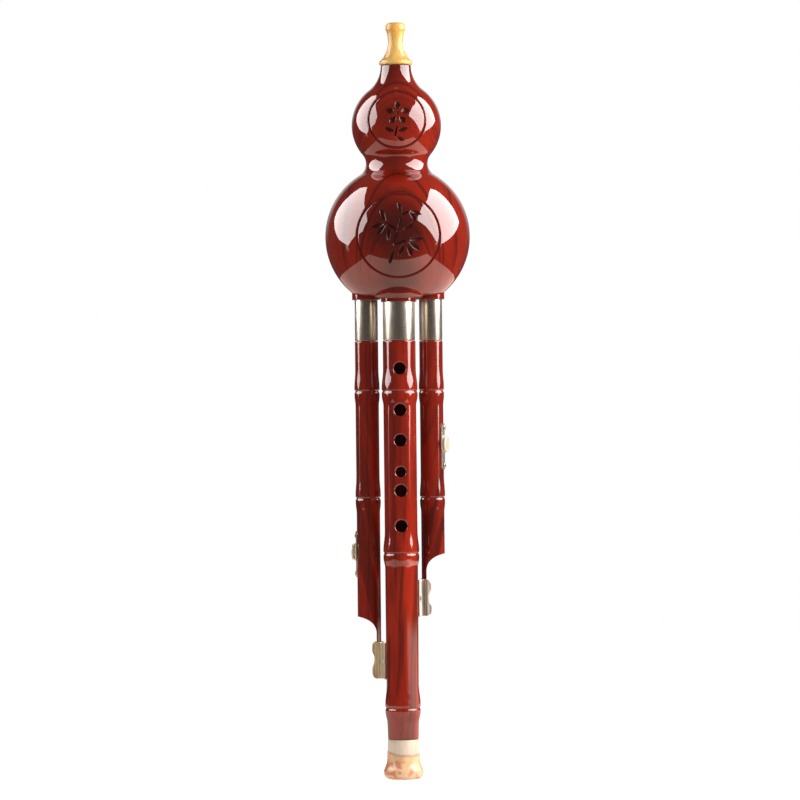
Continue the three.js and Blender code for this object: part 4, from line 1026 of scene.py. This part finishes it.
def clip(side):
    at = DRONES[side]
    bottom, top = at["clip_bottom"], at["clip_top"]
    notch, notch_r, corner, edge_ahead = 1.4, 9.0, 3.0, 8.1 * math.cos(77 * DEGREE)
    edge = [(0.0, 0.2), (0.06, 0.08), (0.2, 0.0)]
    levels = [(bottom + rise, trim) for rise, trim in edge]
    levels += [(z, 0.0) for z in np.linspace(bottom + 0.5, top - 0.5, 54)]
    levels += [(top - rise, trim) for rise, trim in edge[::-1]]
    outlines = []
    for z, trim in levels:
        off_middle, off_end = abs(z - at["clip_middle"]), min(z - bottom, top - z)
        ahead = edge_ahead
        ahead += max(0, math.sqrt(max(0, notch_r ** 2 - off_middle ** 2)) - (notch_r - notch))
        if off_end < corner:
            ahead += corner - math.sqrt(corner ** 2 - (corner - off_end) ** 2)
        outlines.append([(x, y + MAIN_Y, z) for x, y in clip_outline(at, trim, ahead)])
    return smooth(combine(stack(f"{side}_clip_folded", outlines), rivet_holes(at, 8, 13)), 40)


def fastener(name, shank, head, rise, start, seat, slotted=False):
    """A rivet or screw along +X with a domed head"""
    top = seat + rise
    crown = [(head * math.cos(a), seat + rise * 0.3 + rise * 0.7 * math.sin(a))
             for a in np.linspace(0, QUARTER, 9)[:-1]]
    under = [(0, start), (shank, start), (shank, seat), (head - 0.08, seat), (head, seat + 0.08)]
    body = lathe(name, under + crown + [(0, top)], 40)
    if slotted:
        reach, half, depth = head * 1.2, 0.17, 0.28
        corners = [(-reach, -half), (reach, -half), (reach, half), (-reach, half)]
        combine(body, [stack("slot", [[(x, y, top - depth + z) for x, y in corners] for z in (0, 1)])])
    body.data.transform(Matrix.Rotation(QUARTER, 4, "Y"))
    return smooth(body, 40)


for side, at in DRONES.items():
    dress(clip(side), [f"{side}_clip"], "main_pipe", "clip_metal", at["clip_metal"])
    angles = sorted((at["clip_turn"] - RIVET_TURN, at["clip_turn"] + RIVET_TURN), key=math.sin)
    for place, angle in zip(("front", "rear"), angles):
        pin = fastener(f"{side}_clip_{place}_pin", shank=0.8, head=1.5, rise=0.7, start=7.5, seat=10.9)
        seat = Matrix.Translation((0, MAIN_Y * MM, at["clip_middle"] * MM))
        pin.data.transform(seat @ Matrix.Rotation(angle, 4, "Z"))
        dress(pin, [f"{side}_clip_{place}_rivet"], "main_pipe", "clip_metal", at["clip_metal"])


# Switches

def switch_plate(at):
    """A rail with a slot that the knob's neck runs in, and two screw holes"""
    neck_room, beyond = 4.3, 12
    top, bottom = at["cap"] + neck_room, at["cap"] - SLIDER_TRAVEL - neck_room
    holes = [oval(width=3.6, length=top - bottom, centre=(top + bottom) / 2, out=beyond)]
    for z in (at["plate"] - SCREW_RISE, at["plate"] + SCREW_RISE):
        holes.append(rod(SCREW_HOLE_R, (0, 0, z), (beyond, 0, z), 24))
    rail = patch(inner=7.0, outer=7.5, width=5.6, length=27, centre=at["plate"])
    return smooth(beside(at, combine(rail, holes)))


def slider(at):
    """A curved shoe with a round knob that has a shallow dish in its top"""
    neck_r, cap_r, neck_bottom, cap_bottom, cap_top = 2.6, 4.65, 7.95, 8.55, 9.5
    corners = [(neck_r, cap_bottom), (cap_r, cap_bottom), (cap_r, cap_top), (0, cap_top)]
    rim = rounded(corners, 0.3, 6, closed=False)
    points = [(0, neck_bottom), (neck_r, neck_bottom), (neck_r, cap_bottom - 0.15)] + rim[1:-1]
    points += [(3.3, cap_top), (3.0, cap_top - 0.08), (2.7, cap_top - 0.08), (2.4, cap_top), (0, cap_top)]
    knob = lathe("knob", points, 96)
    knob.data.transform(Matrix.Translation((0, 0, at["cap"] * MM)) @ Matrix.Rotation(QUARTER, 4, "Y"))
    shoe = patch(inner=7.7, outer=8.2, width=7.0, length=10.4, centre=at["cap"])
    return smooth(beside(at, combine(shoe, [knob], "UNION")), 32)


for side, at in DRONES.items():
    plate = switch_plate(at)
    plate.name = f"{side}_switch_rail"
    dress(plate, [f"{side}_switch_plate"], f"{side}_drone", "nickel", plate_nickel)
    for place, rise in (("upper", SCREW_RISE), ("lower", -SCREW_RISE)):
        screw = fastener(f"{side}_{place}_pin", shank=0.6, head=1.5, rise=0.6, start=5.0, seat=7.7,
                         slotted=True)
        screw.data.transform(Matrix.Translation((0, 0, (at["plate"] + rise) * MM)))
        dress(beside(at, screw), [f"{side}_switch_{place}_screw"], f"{side}_drone", "nickel", plate_nickel)
    knob = slider(at)
    knob.name = f"{side}_switch_knob"
    dress(knob, [f"{side}_switch_slider"], f"{side}_switch", "nickel", pale_nickel)
    cushion = patch(inner=7.0, outer=7.5, width=2.6, length=8.0, centre=at["cap"])
    pad = smooth(beside(at, cushion))
    pad.name = f"{side}_switch_cushion"
    dress(pad, [f"{side}_slider_pad"], f"{side}_switch", "pad_rubber", rubber)


# Reeds keep their CAD solids
REED_MATERIALS = {"tube": dark_plastic, "plug": dark_plastic, "seal": cork, "plate": brass}
for node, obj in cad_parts.items():
    if "_reed_" in node:
        for slot in obj.material_slots:
            slot.material = REED_MATERIALS[node.split("_")[-1]]


# Camera

DISTANCE = 2300.0
HORIZON = 219.7
FRAME_WIDTH = 467.4
ASIDE = 0.4
AZIMUTH = 0.9 * DEGREE
ROLL = 0.62 * DEGREE
camera = bpy.data.objects.new("camera", bpy.data.cameras.new("camera"))
bpy.context.scene.collection.objects.link(camera)
camera.data.sensor_fit = "HORIZONTAL"
camera.data.angle = 2 * math.atan(FRAME_WIDTH / 2 / DISTANCE)
camera.data.clip_end = 50
back_off = Matrix.Translation((0, -DISTANCE * MM, 0)) @ Matrix.Rotation(QUARTER, 4, "X")
look = Matrix.Rotation(-AZIMUTH, 4, "Z") @ back_off
aim = Matrix.Translation((ASIDE * MM, 0, HORIZON * MM)) @ look
camera.matrix_world = aim @ Matrix.Rotation(-ROLL, 4, "Z")
bpy.context.scene.camera = camera


# Floor, backdrop and light, whose places are in metres unless they come from a mesh

def plane(name, height):
    """A level sheet under the object that runs far back, and its shader"""
    width, depth, front = 1.0, 2.0, 0.40
    bpy.ops.mesh.primitive_plane_add(size=1)
    obj = bpy.context.object
    obj.name = name
    obj.scale = (width, depth, 1)
    obj.location = (0, depth / 2 - front, height)
    return obj, Shader(name)


def floor():
    """White paper, as far below the foot as the main pipe slides out"""
    obj, s = plane("floor_paper", height=-0.0205)
    s.finish(Base_Color=(0.8, 0.8, 0.8), Roughness=0.9)
    paper = Value(s, s.surface.outputs[0])
    lit = s.out("AddShader", i0=paper, i1=s.out("Emission", Color=(1, 1, 1, 1), Strength=0.7))
    s.show(obj, s.out("MixShader", i0=s.ray("Camera"), i1=paper, i2=lit))
    obj.visible_glossy = False


def mirrored_only(obj, s, shader):
    """A light card that only reflections see"""
    s.show(obj, shader)
    obj.visible_camera = obj.visible_diffuse = obj.visible_shadow = obj.visible_transmission = False


def table_card():
    """The pale table that the lacquer mirrors"""
    obj, s = plane("table_card", height=-0.0003)
    glow = s.ramp(s.parts(s.place)[0] + 0.5, [(0.1, 0.58), (0.45, 0.5), (0.85, 0.92)]) * 1.6
    mirrored_only(obj, s, s.out("Emission", Color=(1.0, 0.81, 0.69, 1), Strength=glow))


def card(name, side, outline, strength, fade=None):
    """A softbox beside the object. Its outline is in Y and Z from the lower bulb, as shares of its
    distance. It is brighter to the back and top, or fades in between two heights."""
    away = 652.0 if fade else 650.0
    verts = [(side * away, y * away, LOWER_Z + z * away) for y, z in outline]
    obj = make(name, verts, [tuple(range(len(verts)))])
    s = Shader(name)
    y, z = s.parts(s.place)[1:]
    if fade:
        low, high = ((LOWER_Z + share * away) * MM for share in fade)
        power = s.between(z, low, high, 0.0, strength)
    else:
        power = s.between(y + z * 0.5, -0.2, 0.6, 0.88 * strength, 1.2 * strength)
    mirrored_only(obj, s, s.out("Emission", Color=(1.0, 0.96, 0.95, 1), Strength=power))


def low_strip():
    """A dim strip low on the right, mirrored by the main pipe between its last two rings. It leans
    so that the gourd sees it edge on."""
    foot_x, top_x, near, far, low, high = 167.0, 133.0, -300.0, 90.0, 28.0, 88.0
    verts = [(foot_x, near, low), (foot_x, far, low), (top_x, far, high), (top_x, near, high)]
    obj = make("low_strip", verts, [(0, 1, 2, 3)])
    s = Shader("low_strip")
    y, z = s.parts(s.place)[1:]
    power = s.step(z, high * MM, (high - 18.0) * MM) * s.step(y, near * MM, (near + 160.0) * MM) * 1.25
    glow = s.out("Emission", Color=(1.0, 0.86, 0.74, 1), Strength=power)
    mirrored_only(obj, s, s.out("AddShader", i0=s.out("BsdfTransparent"), i1=glow))


def lamp(name, place, size, power, color=(1, 1, 1)):
    data = bpy.data.lights.new(name, "AREA")
    data.shape = "RECTANGLE"
    data.size, data.size_y = size
    data.energy = power
    data.color = color
    obj = bpy.data.objects.new(name, data)
    bpy.context.scene.collection.objects.link(obj)
    obj.location = place
    towards_middle = Vector((0, 0, 0.23)) - Vector(place)
    obj.rotation_euler = towards_middle.to_track_quat("-Z", "Y").to_euler()
    obj.visible_glossy = False


def sky():
    """White to the camera, and dim to reflections apart from the upper back"""
    world = bpy.data.worlds.new("studio")
    bpy.context.scene.world = world
    world.use_nodes = True
    s = Nodes(world.node_tree)
    y, z = s.parts(s.out("TexCoord"))[1:]
    corner = s.between(y, 0.8, 0.95, 0.0, 1.0) * s.between(z, 0.0, 0.22, 0.0, 1.0)
    dim, bright, strength = 0.06, 0.85, 0.35
    rim = s.between(corner, 0.0, 1.0, dim, bright)
    for kind, seen in (("Glossy", rim), ("Transmission", 1.0), ("Camera", 1.0)):
        strength = s.out("Mix", {"data_type": "FLOAT"}, i0=s.ray(kind), i2=strength, i3=seen)
    background = world.node_tree.nodes["Background"]
    s.put(background.inputs["Strength"], strength)
    background.inputs["Color"].default_value = (1, 1, 1, 1)


floor()
table_card()
card("left_softbox", -1, [(-0.08, -0.17), (-0.30, -0.02), (-0.60, 0.14), (-0.75, 0.50), (-0.54, 0.79),
                          (-0.28, 1.02), (-0.05, 1.25), (0.10, 1.42), (0.46, 1.71), (0.70, 1.4), (0.70, 0.9),
                          (0.82, 0.45), (0.76, 0.31), (0.55, 0.15), (0.28, -0.02)], strength=4.9)
card("right_softbox", 1, [(-0.35, -0.2), (-0.52, -0.12), (-1.0, 0.35), (-1.5, 0.75), (-1.43, 0.92),
                          (-0.75, 1.2), (-0.37, 1.2), (-0.01, 1.35), (0.38, 1.45), (0.5, 1.2), (0.5, 0.75),
                          (0.52, 0.25), (0.15, 0.05)], strength=6.9)
card("left_low_softbox", -1, [(-0.07, -0.32), (-0.07, -0.15), (0.02, -0.15), (0.02, -0.32)], strength=1.5,
     fade=(-0.31, -0.18))
card("right_low_softbox", 1, [(-0.49, -0.28), (-0.49, -0.17), (-0.37, -0.17), (-0.37, -0.28)], strength=2.4,
     fade=(-0.27, -0.19))
low_strip()
lamp("right_lamp", (0.85, -0.3, 0.42), size=(0.5, 1.1), power=11.8, color=(1, 0.97, 0.94))
lamp("left_lamp", (-0.85, -0.1, 0.42), size=(0.5, 1.1), power=1.6, color=(1, 0.98, 0.96))
lamp("front_lamp", (0.1, -1.0, 1.2), size=(0.9, 0.6), power=3.4)
sky()
bpy.context.scene.view_settings.view_transform = "Standard"
